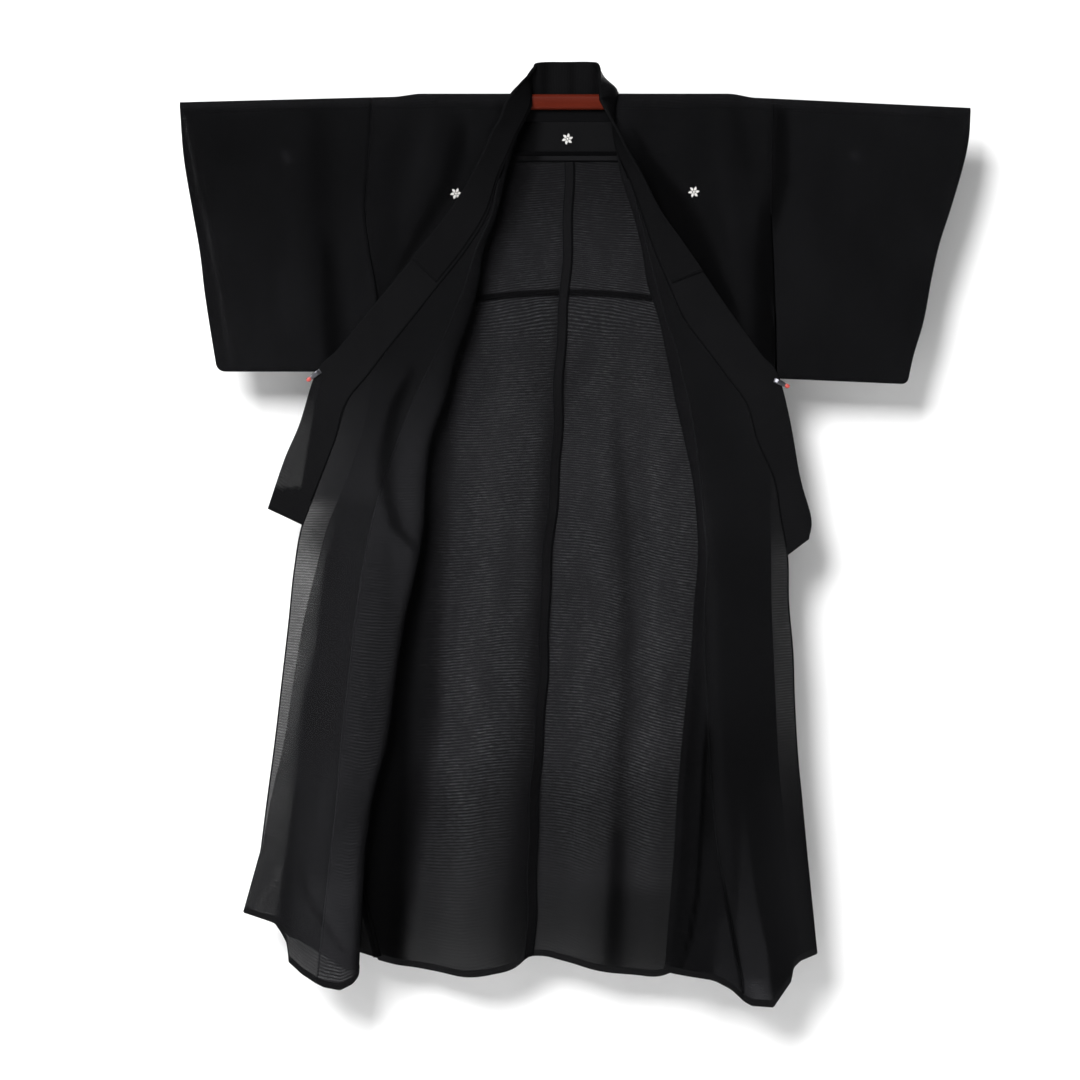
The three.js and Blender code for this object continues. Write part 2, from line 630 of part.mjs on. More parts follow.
function buildCollar() {
  const grid = collarStations().map((station) => COLLAR_SHARES.map((t) => acrossCollar(station, t)));
  add('collar', wall(grid, COLLAR_WALL), SILK);
  // The over-collar lies on both faces and round the free edge, from the collar's own points moved out.
  const normal = normals(grid);
  const inner = COLLAR_WALL / 2 + GAP;
  const outer = inner + WALL;
  const from = COLLAR_EDGE_LEFT.length - 1 - OVER_COLLAR_END.left;
  const to = COLLAR_EDGE_LEFT.length + NECK.length + OVER_COLLAR_END.right;
  const last = COLLAR_SHARES.length - 1;
  const sections = [];
  for (let i = from; i <= to; i += 1) {
    const out = grid[i][last].clone().sub(grid[i][last - 1]).normalize();
    const point = (j, offset, past = 0) => grid[i][j].clone()
      .addScaledVector(normal[i][j], offset).addScaledVector(out, past);
    sections.push([
      point(1, outer), point(2, outer), point(last, outer, GAP + WALL),
      point(last, -outer, GAP + WALL), point(2, -outer), point(1, -outer),
      point(1, -inner), point(2, -inner), point(last, -inner, GAP),
      point(last, inner, GAP), point(2, inner), point(1, inner),
    ]);
  }
  add('over_collar', sweep(sections, (band) => [3, 4, 9, 10].includes(band)), SILK);
}

// ---------------------------------------------------------------- sleeves

function sleeveGrid(side) {
  const spec = SLEEVES[side];
  const sign = side === 'left' ? -1 : 1;
  const across = [0, 0.07, 0.18, 0.32, 0.5, 0.7, 0.87, 0.96, 1];
  const halfDepth = (u, share) => {
    const closed = smooth(0.78, 1, share);
    const sewn = smooth(CUFF_END, CUFF_END + 0.12, share) * smooth(0.82, 1, u);
    const belly = SLEEVE_BULGE * Math.sin(Math.PI * Math.min(1, share)) * Math.sin(Math.PI * u);
    return SEAM + 0.4 + (LAYER - SEAM - 0.4 + belly) * (1 - closed) * (1 - sewn);
  };
  const place = (u, share, face) => {
    const outer = read(spec.rows, 'share', 'outer', share);
    const inner = read(spec.rows, 'share', 'inner', share) + sign * GAP;
    const x = lerp(inner, outer, u);
    const round = spec.corner * (1 - Math.sqrt(1 - smoothEnd(u, spec.corner / Math.abs(outer - inner)) ** 2));
    const top = ridge(x) - LAYER;
    const z = lerp(top, lerp(spec.bottom[0], spec.bottom[1], u) + round, share);
    const at = lerp(spec.trough.top, spec.trough.bottom, share);
    const trough = face < 0 ? spec.trough.depth * bell(x - at, spec.trough.width) * smooth(0.05, 0.5, share)
      * (1 - smooth(0.78, 1, share)) : 0;
    return new THREE.Vector3(x, face * halfDepth(u, share) + trough, z);
  };
  const shares = [1, 0.96, 0.9, 0.82, 0.72, 0.6, 0.5, 0.4, 0.25, 0.1];
  const front = shares.map((share) => across.map((u) => place(u, share, -1)));
  const over = [0, 1, 2, 3, 4].map((turn) => across.map((u) => overBar(place(u, 0, -1).x, turn)));
  const back = [...shares].reverse().map((share) => across.map((u) => place(u, share, 1)));
  return [...front, ...over, ...back];
}

// 0 up to the start of the last share, then rising to 1 at the edge.
function smoothEnd(u, last) {
  return Math.min(1, Math.max(0, (u - (1 - last)) / last)) * 0.98;
}

// ---------------------------------------------------------------- pieces lying on the back

// Both are made from the back's own points, moved in by a wall and a clearance.
function buildLiningAndSeam() {
  const lift = WALL + GAP;
  const liningX = [-165, -130, -95, -60, -30, -7, 25, 50, 80, 110, 140, 160];
  const flat = (z) => ({ z, shift: 0, bend: () => 0 });
  const lining = [NECK_DEPTH - 2, -60, LINING_END].map((z) => liningX.map((x) => backPoint(x, flat(z))));
  add('shoulder_lining', wall(lining, WALL, lift), SILK);
  const rows = [flat(LINING_END - 2), ...backRowList().filter((row) => row.z < LINING_END)];
  const seam = rows.map((row) => {
    const x = read(CENTRE_BACK, 'z', 'x', row.z);
    return [-SEAM_HALF, 0, SEAM_HALF].map((step) => backPoint(x + step, row));
  });
  add('back_seam', wall(seam, WALL, lift), SILK);
}

// ---------------------------------------------------------------- clips

// Two sprung plates, one each side of the cloth, a coil barrel between them, and soft tips.
function buildClip(spec) {
  const group = new THREE.Group();
  const put = (name, geometry, material, x, y) => {
    const mesh = new THREE.Mesh(geometry, material);
    mesh.name = `${spec.name}_${name}`;
    mesh.position.set(x, y, 0);
    group.add(mesh);
  };
  const length = CLIP.bite + CLIP.handle;
  for (const [face, sign] of [['front', -1], ['back', 1]]) {
    const y = CLIP[face] + sign * CLIP.plate / 2;
    put(face, new THREE.BoxGeometry(length, CLIP.plate, CLIP.width), CHROME, length / 2 - CLIP.bite, y);
    const tip = new THREE.BoxGeometry(CLIP.tip, CLIP.tipThick, CLIP.width + 1);
    put(`tip_${face}`, tip, RUBBER, CLIP.handle + GAP + CLIP.tip / 2, y);
  }
  const coil = new THREE.CylinderGeometry(CLIP.coil, CLIP.coil, CLIP.width - 1, 12);
  coil.rotateX(Math.PI / 2);
  put('spring', coil, CHROME, CLIP.coilAt, (CLIP.back + CLIP.front) / 2);
  group.position.set(spec.at[0], 0, spec.at[1]);
  group.rotation.y = THREE.MathUtils.degToRad(-spec.lean);
  kimono.add(group);
}

// ---------------------------------------------------------------- assembly

buildHanger();
for (const side of ['left', 'right']) {
  const rows = side === 'left' ? FRONT_LEFT : FRONT_RIGHT;
  add(`body_${side}`, wall(bodyGrid(side), WALL), SILK);
  add(`okumi_${side}`, wall(okumiGrid(side, rows), WALL), SILK);
  add(`sleeve_${side}`, wall(sleeveGrid(side), WALL), SILK);
}
buildCollar();
buildLiningAndSeam();
CLIPS.forEach(buildClip);

export default kimono;
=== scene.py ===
"""An unlined mourning kimono of black summer silk gauze, hung on a lacquered bar, with its fronts
turned back and clipped to the sleeves. Tables are in millimetres and meshes in metres. The front
faces -Y, and left and right are the viewer's, seen from the front."""

import bpy
import numpy as np
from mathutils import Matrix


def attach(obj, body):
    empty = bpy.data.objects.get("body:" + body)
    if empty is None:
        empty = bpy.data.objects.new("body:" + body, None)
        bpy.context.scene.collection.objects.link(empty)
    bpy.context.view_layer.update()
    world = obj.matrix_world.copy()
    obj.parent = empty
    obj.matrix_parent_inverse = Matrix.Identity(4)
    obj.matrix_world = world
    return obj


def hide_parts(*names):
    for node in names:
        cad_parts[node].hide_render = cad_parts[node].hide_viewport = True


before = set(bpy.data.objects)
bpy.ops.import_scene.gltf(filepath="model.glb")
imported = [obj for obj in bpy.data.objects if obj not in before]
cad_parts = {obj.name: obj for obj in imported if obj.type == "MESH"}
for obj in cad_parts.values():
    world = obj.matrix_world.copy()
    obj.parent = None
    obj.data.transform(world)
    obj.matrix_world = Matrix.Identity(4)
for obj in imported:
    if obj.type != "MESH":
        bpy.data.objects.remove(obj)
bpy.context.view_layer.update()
scene = bpy.context.scene

# ============================================================ the stage
# A pale floor, a pale wall close behind the kimono that shows only from its front, and soft studio
# light: a large key from the upper left, an even light all round, and one behind for the back.
MM = 0.001
SIGHT = (-0.061, -0.7665)      # X and Z of the middle of the view
VIEW_WIDTH = 1.89              # metres across at the bar
CAMERA_DISTANCE = 8.0
SENSOR = 36.0
WALL = {"behind": 0.12, "half": 5, "low": -3.2, "high": 3, "paper": 0.9}
FLOOR = {"height": -1.95, "half_x": 6, "half_y": 7, "paper": 0.7}
DAYLIGHT = 0.17                # strength of the even light all round
PLIES_SEEN_THROUGH = 48


def preset(node, values):
    """A shader node with inputs set by name, written with underscores for spaces."""
    for name, value in values.items():
        node.inputs[name.replace("_", " ")].default_value = value
    return node


def add(nodes, kind, **values):
    """A new shader node of a kind, with the inputs given."""
    return preset(nodes.new("ShaderNode" + kind), values)


def node_material(name, **values):
    """A new material, its nodes, its links and its Principled shader with the inputs given."""
    material = bpy.data.materials.new(name)
    material.use_nodes = True
    tree = material.node_tree
    return material, tree.nodes, tree.links, preset(tree.nodes["Principled BSDF"], values)


def plane(name, corners, material):
    """One flat quad through four corners, in metres."""
    mesh = bpy.data.meshes.new(name)
    mesh.from_pydata(corners, [], [(0, 1, 2, 3)])
    mesh.materials.append(material)
    obj = bpy.data.objects.new(name, mesh)
    scene.collection.objects.link(obj)


def paper(name, shade, one_sided):
    """Matt paper. One-sided paper lets sight through from behind, and light through to what is before it."""
    material, nodes, links, principled = node_material(
        name, Base_Color=(shade, shade, shade, 1), Roughness=1.0, Specular_IOR_Level=0.0)
    if one_sided:
        away, path = add(nodes, "NewGeometry"), add(nodes, "LightPath")
        either, clear, blend = add(nodes, "Math"), add(nodes, "BsdfTransparent"), add(nodes, "MixShader")
        either.operation = "MAXIMUM"
        links.new(away.outputs["Backfacing"], either.inputs[0])
        links.new(path.outputs["Is Shadow Ray"], either.inputs[1])
        for source, socket in zip((either, principled, clear), blend.inputs):
            links.new(source.outputs[0], socket)
        links.new(blend.outputs[0], nodes["Material Output"].inputs["Surface"])
    return material


def softbox(name, place, aim, size, power):
    """A square area light at place, turned towards aim."""
    data = bpy.data.lights.new(name, "AREA")
    data.size = size
    data.energy = power
    light = bpy.data.objects.new(name, data)
    light.location = place
    direction = np.array(aim, float) - np.array(place, float)
    yaw = np.arctan2(direction[1], direction[0]) - np.pi / 2
    pitch = np.arctan2(direction[2], np.hypot(direction[0], direction[1]))
    light.rotation_euler = (np.pi / 2 + pitch, 0, yaw)
    scene.collection.objects.link(light)


CORNERS = ((-1, 0), (1, 0), (1, 1), (-1, 1))
wall_z, floor_y = (WALL["low"], WALL["high"]), (-FLOOR["half_y"], FLOOR["half_y"])
plane("backdrop", [(WALL["half"] * x, WALL["behind"], wall_z[top]) for x, top in CORNERS],
      paper("backdrop_paper", WALL["paper"], True))
plane("floor", [(FLOOR["half_x"] * x, floor_y[far], FLOOR["height"]) for x, far in CORNERS],
      paper("floor_paper", FLOOR["paper"], False))
softbox("key", (-3.4, -8.4, 4.0), (0, 0, -0.8), 4.2, 1560)
softbox("behind", (1.8, 4.2, 1.6), (0, 0, -0.75), 2.5, 300)
world = bpy.data.worlds.new("studio")
world.use_nodes = True
preset(world.node_tree.nodes["Background"], {"Color": (1, 1, 1, 1), "Strength": DAYLIGHT})
scene.world = world
scene.view_settings.view_transform = "Standard"
scene.cycles.transparent_max_bounces = PLIES_SEEN_THROUGH

camera_data = bpy.data.cameras.new("camera")
camera_data.sensor_width = SENSOR
camera_data.lens = SENSOR * CAMERA_DISTANCE / VIEW_WIDTH
camera = bpy.data.objects.new("camera", camera_data)
camera.location = (SIGHT[0], -CAMERA_DISTANCE, SIGHT[1])
camera.rotation_euler = (np.pi / 2, 0, 0)
scene.collection.objects.link(camera)
scene.camera = camera

# ============================================================ the hanger
# An oval bar of red-brown lacquered wood with a drawn-out end arm on each side, inside the sleeves. The
# kimono hangs on it by its shoulders and sleeves.
BAR = {"height": 27.0, "depth": 14.0, "half": 240.0}
ARM = {"height": 20.0, "depth": 11.0, "end": 665.0}
ARM_DROOP = {"left": np.radians(1.45), "right": np.radians(2.7)}
BAR_EDGE = 2.5                 # rounding of the ends
PARTED = 0.3                   # gap between pieces that meet
SIGN = {"left": -1.0, "right": 1.0}


def two_tone(nodes, links, pattern, principled, low, high, places=(0, 1)):
    """Base colour from low to high as a pattern's value goes from the first place to the second."""
    ramp = add(nodes, "ValToRGB")
    for end, place, colour in zip(ramp.color_ramp.elements, places, (low, high)):
        end.position, end.color = place, (*colour, 1)
    links.new(pattern, ramp.inputs[0])
    links.new(ramp.outputs[0], principled.inputs["Base Color"])


def lacquer():
    """Dark red lacquer: a thin gloss coat over brushed colour, with faint strokes along the bar."""
    material, nodes, links, principled = node_material(
        "lacquer", Roughness=0.38, IOR=1.12, Coat_Weight=0.04, Coat_Roughness=0.22)
    drawn = add(nodes, "Mapping", Scale=(6, 160, 160))
    strokes = add(nodes, "TexNoise", Scale=1.0, Detail=4.0)
    links.new(add(nodes, "TexCoord").outputs["Object"], drawn.inputs["Vector"])
    links.new(drawn.outputs[0], strokes.inputs["Vector"])
    two_tone(nodes, links, strokes.outputs["Fac"], principled, (0.060, 0.0068, 0.0026),
             (0.078, 0.0095, 0.0040), (0.3, 0.75))
    return material


LACQUER = lacquer()


def mesh_object(name, points, faces, material, smooth_faces=True):
    """A piece from arrays of points in metres and of faces."""
    mesh = bpy.data.meshes.new(name)
    mesh.from_pydata(np.asarray(points).tolist(), [], [list(map(int, face)) for face in faces])
    mesh.polygons.foreach_set("use_smooth", np.full(len(mesh.polygons), smooth_faces))
    mesh.materials.append(material)
    obj = bpy.data.objects.new(name, mesh)
    scene.collection.objects.link(obj)
    return obj


def tube(name, rings, material):
    """A closed skin over rings of points, (rings, around, 3) in metres, capped at both ends."""
    count, around = rings.shape[:2]
    index = np.arange(count * around).reshape(count, around)
    ahead = np.roll(index, -1, axis=1)
    sides = np.stack([index[:-1], ahead[:-1], ahead[1:], index[1:]], axis=2).reshape(-1, 4)
    faces = [*sides, index[0][::-1], index[-1]]
    return mesh_object(name, rings.reshape(-1, 3), faces, material)


def piece(obj, slot, *nodes):
    """A piece on the one body, with the solids it stands for hidden. Its slot is not used."""
    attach(obj, "root")
    if nodes:
        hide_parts(*nodes)
    return obj


def oval_bar(name, node, spec, start, end, droop):
    """An oval section, a straight middle with half round ends, carried from start to end across. Its last
    steps shrink along a quarter circle, and its line falls by the droop."""
    angle = np.linspace(0, 2 * np.pi, 32, endpoint=False)
    height, radius = spec["height"], spec["depth"] / 2
    y = radius * np.cos(angle)
    z = radius * np.sin(angle) + np.sign(np.sin(angle)) * (height / 2 - radius)
    turn = np.linspace(0, np.pi / 2, 5)
    inset, along = BAR_EDGE * (1 - np.sin(turn)), BAR_EDGE * (1 - np.cos(turn))
    sign = np.sign(end - start)
    straight = np.linspace(start, end, 9)[1:-1]
    x = np.concatenate([start + sign * along, straight, (end - sign * along)[::-1]])
    shrink = np.concatenate([inset, 0 * straight, inset[::-1]])[:, None]
    rings = np.stack([x[:, None] + 0 * y, y * (1 - shrink / radius), z * (1 - 2 * shrink / height)], axis=2)
    rings[..., 2] -= (np.abs(rings[..., 0]) - abs(start)) * np.tan(droop)
    piece(tube(name, rings * MM, LACQUER), "lacquer", node)


oval_bar("lacquer_bar", "hanger_bar", BAR, -BAR["half"], BAR["half"], 0.0)
for side, sign in SIGN.items():
    oval_bar(f"lacquer_arm_{side}", f"hanger_arm_{side}", ARM, sign * (BAR["half"] + PARTED),
             sign * (ARM["end"] - 1), ARM_DROOP[side])

# ============================================================ the body lengths
# Two loom widths of black silk gauze, each in one length from the front hem over the shoulder to the
# back hem, seamed at the centre back and at the sides. The fronts are turned back on themselves.
CLOTH = 0.6                    # thickness of a single ply as hung
RIDGE_FLAT, RIDGE_ARM = 268.0, 320.0          # cloth is level to the first, and on the arm from the second
REST = 0.9                     # from a bar's face to the middle of the cloth on it
LAYER = BAR["depth"] / 2 + REST
SIDE_SEAM = -345.0             # the side seam starts here, below the open underarm
NECK_DEPTH = -32.0             # back neck, at the centre
TUCK = {"height": -333.0, "arch": 0.00045, "centre": -15.0, "depth": 4.0}
HEM_FOOT = -1500.0             # nominal height of every hem


def table(columns, rows):
    """Rows of bare values as one array for each named column, rising in the first column."""
    values = np.array(sorted(rows), float)
    return dict(zip(columns.split(), values.T))


def reading(values, key, column, at):
    """A smooth curve through a table: cubic between its rows, with slopes from the rows on either side."""
    x, y = values[key], values[column]
    slope = np.gradient(y, x)
    at = np.clip(at, x[0], x[-1])
    i = np.clip(np.searchsorted(x, at) - 1, 0, len(x) - 2)
    span = x[i + 1] - x[i]
    t = (at - x[i]) / span
    return ((1 + 2 * t) * (1 - t) ** 2 * y[i] + t * (1 - t) ** 2 * span * slope[i]
            + t ** 2 * (3 - 2 * t) * y[i + 1] + t ** 2 * (t - 1) * span * slope[i + 1])


def smooth(start, end, value):
    """0 before start, 1 after end, and an even S between."""
    t = np.clip((value - start) / (end - start), 0, 1)
    return t * t * (3 - 2 * t)


def mix(a, b, t):
    """a at 0, b at 1."""
    return a + (b - a) * t


def bell(distance, width):
    """1 at the middle, falling away on both sides."""
    return np.exp(-(distance / width) ** 2)


# side: side seam. fold: outward fold behind the turned-back front. roll: where the front turns back.
# join: front to overlap panel. edge: collar seam, then the free front edge. turn: degrees turned at the
# roll. radius: of the roll. near, far: depth of the outer layer at the roll, of the inner at its edge.
FRONT_COLUMNS = "z side fold roll join edge turn radius near far"
FRONT = {
    "left": table(FRONT_COLUMNS, [
        (-10, -355, -355, -78, -76, -76, 80, 4, -9, -20),
        (-32, -356.3, -356, -86, -84, -84, 115, 6, -9, -22),
        (-61, -358, -358, -98, -96, -96, 138, 7, -9, -22),
        (-88, -359.6, -360, -108, -106, -106, 152, 7, -9, -22),
        (-136, -362.4, -362, -122, -131, -134, 180, 6, -9, -22),
        (-198, -366, -366, -136, -145, -153, 180, 6, -10, -22),
        (-259, -358.5, -358.5, -158, -172, -190, 180, 6, -10, -22),
        (-320, -348.5, -348.5, -168, -191, -238, 180, 6, -11, -21),
        (-382, -345, -347, -184, -215, -287, 180, 6, -11, -20),
        (-434, -341, -349, -203, -238, -329, 180, 7, -12, -18),
        (-478, -341, -352, -215, -260, -363, 180, 7, -12, -15),
        (-522, -343, -359, -226, -281, -398, 180, 8, -12, -12),
        (-592, -346, -376, -250, -308, -420, 180, 8, -12, -13),
        (-665, -352, -401, -259, -334, -448, 180, 8, -12, -14),
        (-740, -357, -432, -263, -355, -476, 180, 8, -13, -15),
        (-819, -364, -453, -276, -370, -490, 180, 9, -13, -16),
        (-906, -371, -474, -296, -383, -499, 180, 9, -13, -17),
        (-1012, -376, -492, -313, -395, -511, 180, 9, -14, -18),
        (-1116, -382, -508, -327, -407, -523, 180, 10, -14, -19),
        (-1222, -387, -532, -354, -415, -537, 180, 10, -15, -20),
        (-1309, -392, -547, -366, -425, -548, 180, 11, -15, -21),
    ]),
    "right": table(FRONT_COLUMNS, [
        (-10, 346, 346, 70, 68, 68, 50, 5, -9, -20),
        (-32, 345.5, 346, 68, 66, 66, 76, 7, -9, -24),
        (-61, 344.9, 345, 68, 67, 67, 96, 7, -9, -24),
        (-88, 344.3, 345, 72, 72, 72, 118, 7, -9, -24),
        (-136, 343.3, 343, 82, 92, 95, 180, 7, -9, -24),
        (-198, 342.5, 343, 102, 112, 117, 180, 6, -10, -23),
        (-259, 345.5, 346, 117, 127, 138, 180, 6, -10, -22),
        (-320, 348, 348.5, 127, 142, 164, 180, 6, -11, -21),
        (-382, 349.3, 350, 147, 159, 192, 180, 6, -11, -20),
        (-434, 349.8, 350.5, 158, 177, 231, 180, 7, -12, -18),
        (-478, 348, 349.5, 167, 187, 264, 180, 7, -12, -15),
        (-522, 340, 345, 175, 198, 297, 180, 8, -12, -12),
        (-592, 331, 342, 191, 210, 319, 180, 8, -12, -13),
        (-665, 324, 342, 206, 219, 350, 180, 8, -12, -14),
        (-721, 320, 342, 212, 224, 359, 180, 8, -13, -15),
        (-793, 317, 343, 215, 230, 371, 180, 9, -13, -16),
        (-878, 312, 344, 208, 226, 373, 180, 9, -13, -17),
        (-959, 306, 347, 203, 226, 380, 180, 9, -14, -18),
        (-1046, 299, 351, 194, 230, 383, 180, 10, -14, -19),
        (-1150, 290, 356, 184, 235, 389, 180, 10, -15, -20),
        (-1222, 284, 362, 178, 240, 396, 180, 10, -15, -20),
        (-1309, 275, 371, 173, 248, 404, 180, 11, -15, -21),
    ]),
}
# Where each named line of a front meets the hem: place across, height.
FRONT_HEM = {
    "left": {"side": (-345, -1498), "fold": (-577, -1417), "roll": (-377, -1518), "join": (-450, -1539),
             "edge": (-578, -1416)},
    "right": {"side": (259, -1499), "fold": (396, -1498), "roll": (157, -1512), "join": (293, -1538),
              "edge": (422, -1488)},
}
# Hem of the turned-back layer, by its place across.
LAPEL_HEM = {
    "left": table("x z", [(-578, -1416), (-528, -1434), (-516, -1452), (-506, -1470), (-502, -1501),
                          (-478, -1522), (-440, -1545), (-418, -1550), (-404, -1541), (-390, -1530),
                          (-377, -1518)]),
    "right": table("x z", [(152, -1510), (186, -1516), (217, -1524), (256, -1533), (278, -1549),
                           (294, -1570), (308, -1578), (346, -1581), (378, -1535), (383, -1512),
                           (395, -1500), (422, -1488)]),
}
# Hem of the layer behind it, by its place across.
OUTER_HEM = {
    "left": table("x z", [(-578, -1416), (-528, -1434), (-502, -1460), (-489, -1464), (-462, -1479),
                          (-429, -1502), (-403, -1518), (-377, -1518)]),
    "right": table("x z", [(157, -1512), (256, -1530), (278, -1545), (294, -1552), (320, -1556),
                           (346, -1560), (378, -1530), (388, -1503), (422, -1486)]),
}
LIFT_FROM = -480.0             # below this the rows of cloth begin to rise or fall towards their hem
CENTRE_BACK = table("z x", [
    (NECK_DEPTH, -7), (-105, -7), (-341, -19), (-556, -28), (-766, -44), (-942, -52), (-1111, -63),
    (-1222, -68), (HEM_FOOT, -80)])
BACK_HEM = table("x z", [
    (-345, -1500), (-303, -1512), (-240, -1522), (-189, -1531), (-147, -1527), (-103, -1514), (-80, -1496),
    (-61, -1494), (-19, -1503), (37, -1519), (108, -1528), (147, -1530), (186, -1517), (259, -1499)])
# Long folds of the back: place across at the top and at the hem, start height, width, depth (+ backwards).
BACK_FOLDS = [
    {"top": -215, "hem": -285, "start": -450, "width": 34, "depth": 24},
    {"top": -110, "hem": -170, "start": -380, "width": 42, "depth": -9},
    {"top": 85, "hem": 95, "start": -330, "width": 26, "depth": 8},
    {"top": 160, "hem": 60, "start": -600, "width": 40, "depth": -8},
    {"top": 230, "hem": 215, "start": -450, "width": 32, "depth": 16},
]
# How much darker parts of the back are, in doublings, with painted shade in the fold and the deepest part,
# and how much lighter it is at its top and lower down, as painted light.
BACK_SHADE = {"fold": 1.6, "deepest": 1.2, "low": 0.5, "foot": 0.6, "below_tuck": 0.25, "tuck": 2.2}
BACK_LIGHT = {"top": 0.2, "below": 1.2}
BACK_CLEAR = {"top": 0.8, "below": 1.15}       # how much light passes it, against the rest of the gauze


# Creases. path: height, place across and half width in millimetres. rise: how far it stands
# towards the front, or back if negative. tone: doublings of its lightness, painted shade along a trough
# and painted light along a ridge. left, right: how much sharper that side of it is.
def crease(path, rise, tone, left=1.0, right=1.0, flat=2.0):
    """One soft ridge or trough along a path. A higher flat makes it level across with steeper sides."""
    return {"path": table("z x width", path), "rise": rise, "tone": tone, "left": left, "right": right,
            "flat": flat}


def pressed(creases, x, z):
    """Rise and tone at (x, z), the tone being painted shade and light: for each crease a bell in the distance
    across from its path, narrower on a sharp side, which fades over an eighth of the path's length at both
    ends."""
    rise, tone = np.zeros(np.broadcast(x, z).shape), np.zeros(np.broadcast(x, z).shape)
    for fold in creases:
        path = fold["path"]
        low, high = path["z"][0], path["z"][-1]
        fade = max(6.0, (high - low) / 8)
        away = x - np.interp(z, path["z"], path["x"])
        width = np.interp(z, path["z"], path["width"]) / np.where(away < 0, fold["left"], fold["right"])
        across = np.exp(-np.abs(away / width) ** fold["flat"])
        amount = across * smooth(low - fade, low + fade, z) * smooth(high + fade, high - fade, z)
        rise += fold["rise"] * amount
        tone += fold["tone"] * amount
    return rise, tone


BACK_CREASES = [
    crease([(-420, -58, 14), (-609, -46, 16), (-784, -56, 18), (-959, -63, 20), (-1134, -73, 26),
            (-1309, -83, 30), (-1520, -90, 30)], -1.5, -0.35, 0.8, 1.7),
    crease([(-574, 74, 12), (-732, 88, 13), (-942, 94, 13), (-1046, 93, 13), (-1152, 82, 13),
            (-1309, 76, 15), (-1520, 68, 16)], -3, -0.65),
    crease([(-1270, 78, 14), (-1390, 73, 16), (-1520, 66, 18)], -2, -0.9),
    crease([(-380, -120, 20), (-700, -150, 26), (-1100, -186, 28), (-1500, -210, 30)], 2, 0.3),
    crease([(-380, 40, 22), (-700, 46, 26), (-1100, 24, 26), (-1500, 4, 26)], 1.5, 0.15),
    crease([(-480, 130, 18), (-800, 150, 20), (-1200, 132, 22), (-1500, 120, 22)], 2, 0.25),
    crease([(-1380, 110, 80), (-1520, 110, 90)], 0, -0.5),
]
# Behind the left front the back folds forward into its own shade, painted into its tone. This is the line
# across where the painted shade starts.
DEEP_FOLD = table("z x", [
    (-100, -70), (-189, -103), (-259, -128), (-329, -149), (-399, -163), (-469, -187), (-609, -213),
    (-749, -220), (-889, -230), (-1046, -236), (-1152, -250), (-1256, -264), (-1396, -282), (-1520, -300)])
# The seam's allowance shades the cloth to its left, as painted shade: how far, and in doublings how much.
SEAM_SHADE = table("z width tone", [
    (-100, 14, 0.4), (-300, 20, 0.5), (-400, 24, 0.85), (-520, 26, 1.05), (-700, 29, 1.2), (-870, 32, 1.2),
    (-1000, 36, 1.25), (-1200, 44, 1.3), (-1360, 52, 1.35), (-1520, 50, 1.0)])
# Lower down the painted shade is darkest beyond this line across.
DEEPEST = table("z x", [
    (-600, -236), (-820, -262), (-1000, -286), (-1124, -292), (-1265, -296), (-1440, -302), (-1520, -306)])
LAPEL_CREASES = {
    "left": [
        crease([(-480, -288, 10), (-505, -301, 11), (-535, -314, 13), (-580, -325, 15), (-620, -331, 17),
                (-665, -331, 17), (-705, -324, 15), (-745, -312, 13), (-768, -292, 11), (-785, -276, 10)],
               -4, -1.5, 1.3, 1),
        crease([(-1330, -484, 6), (-1379, -470, 7), (-1414, -452, 8), (-1454, -424, 9), (-1490, -400, 8)],
               -1, -0.45),
        crease([(-1152, -424, 12), (-1300, -446, 14), (-1450, -462, 16)], 2, 0.2),
        crease([(-780, -318, 26), (-900, -330, 28), (-1100, -352, 28), (-1300, -380, 26)], -2, -0.28),
        crease([(-1200, -490, 13), (-1325, -500, 13), (-1410, -505, 13), (-1470, -508, 12)], -1, -0.5),
        crease([(-1360, -430, 44), (-1560, -430, 50)], 0, 0.35),
    ],
    "right": [
        crease([(-1100, 230, 4), (-1169, 226, 4), (-1211, 224, 4), (-1276, 220, 4), (-1382, 214, 4),
                (-1460, 200, 4), (-1507, 186, 4)], -2, -1.6),
        crease([(-1100, 237, 9), (-1200, 234, 9), (-1290, 230, 8)], -2, -0.8),
        crease([(-820, 218, 15), (-950, 214, 16), (-1100, 206, 18), (-1250, 198, 18), (-1400, 186, 18),
                (-1510, 170, 16)], -1, -0.6),
        crease([(-680, 224, 10), (-780, 236, 12), (-950, 240, 13), (-1116, 247, 14), (-1248, 257, 15),
                (-1356, 269, 14), (-1423, 279, 10), (-1484, 284, 9)], 2, 0.45),
        crease([(-1366, 258, 3), (-1432, 272, 3.5), (-1493, 283, 3.5), (-1560, 294, 3.5)], -1.5, -1.2),
        crease([(-1180, 352, 24), (-1300, 366, 30), (-1500, 392, 34)], 0, 0.5),
        crease([(-1535, 312, 18), (-1585, 330, 22)], 0, 0.9),
    ],
}
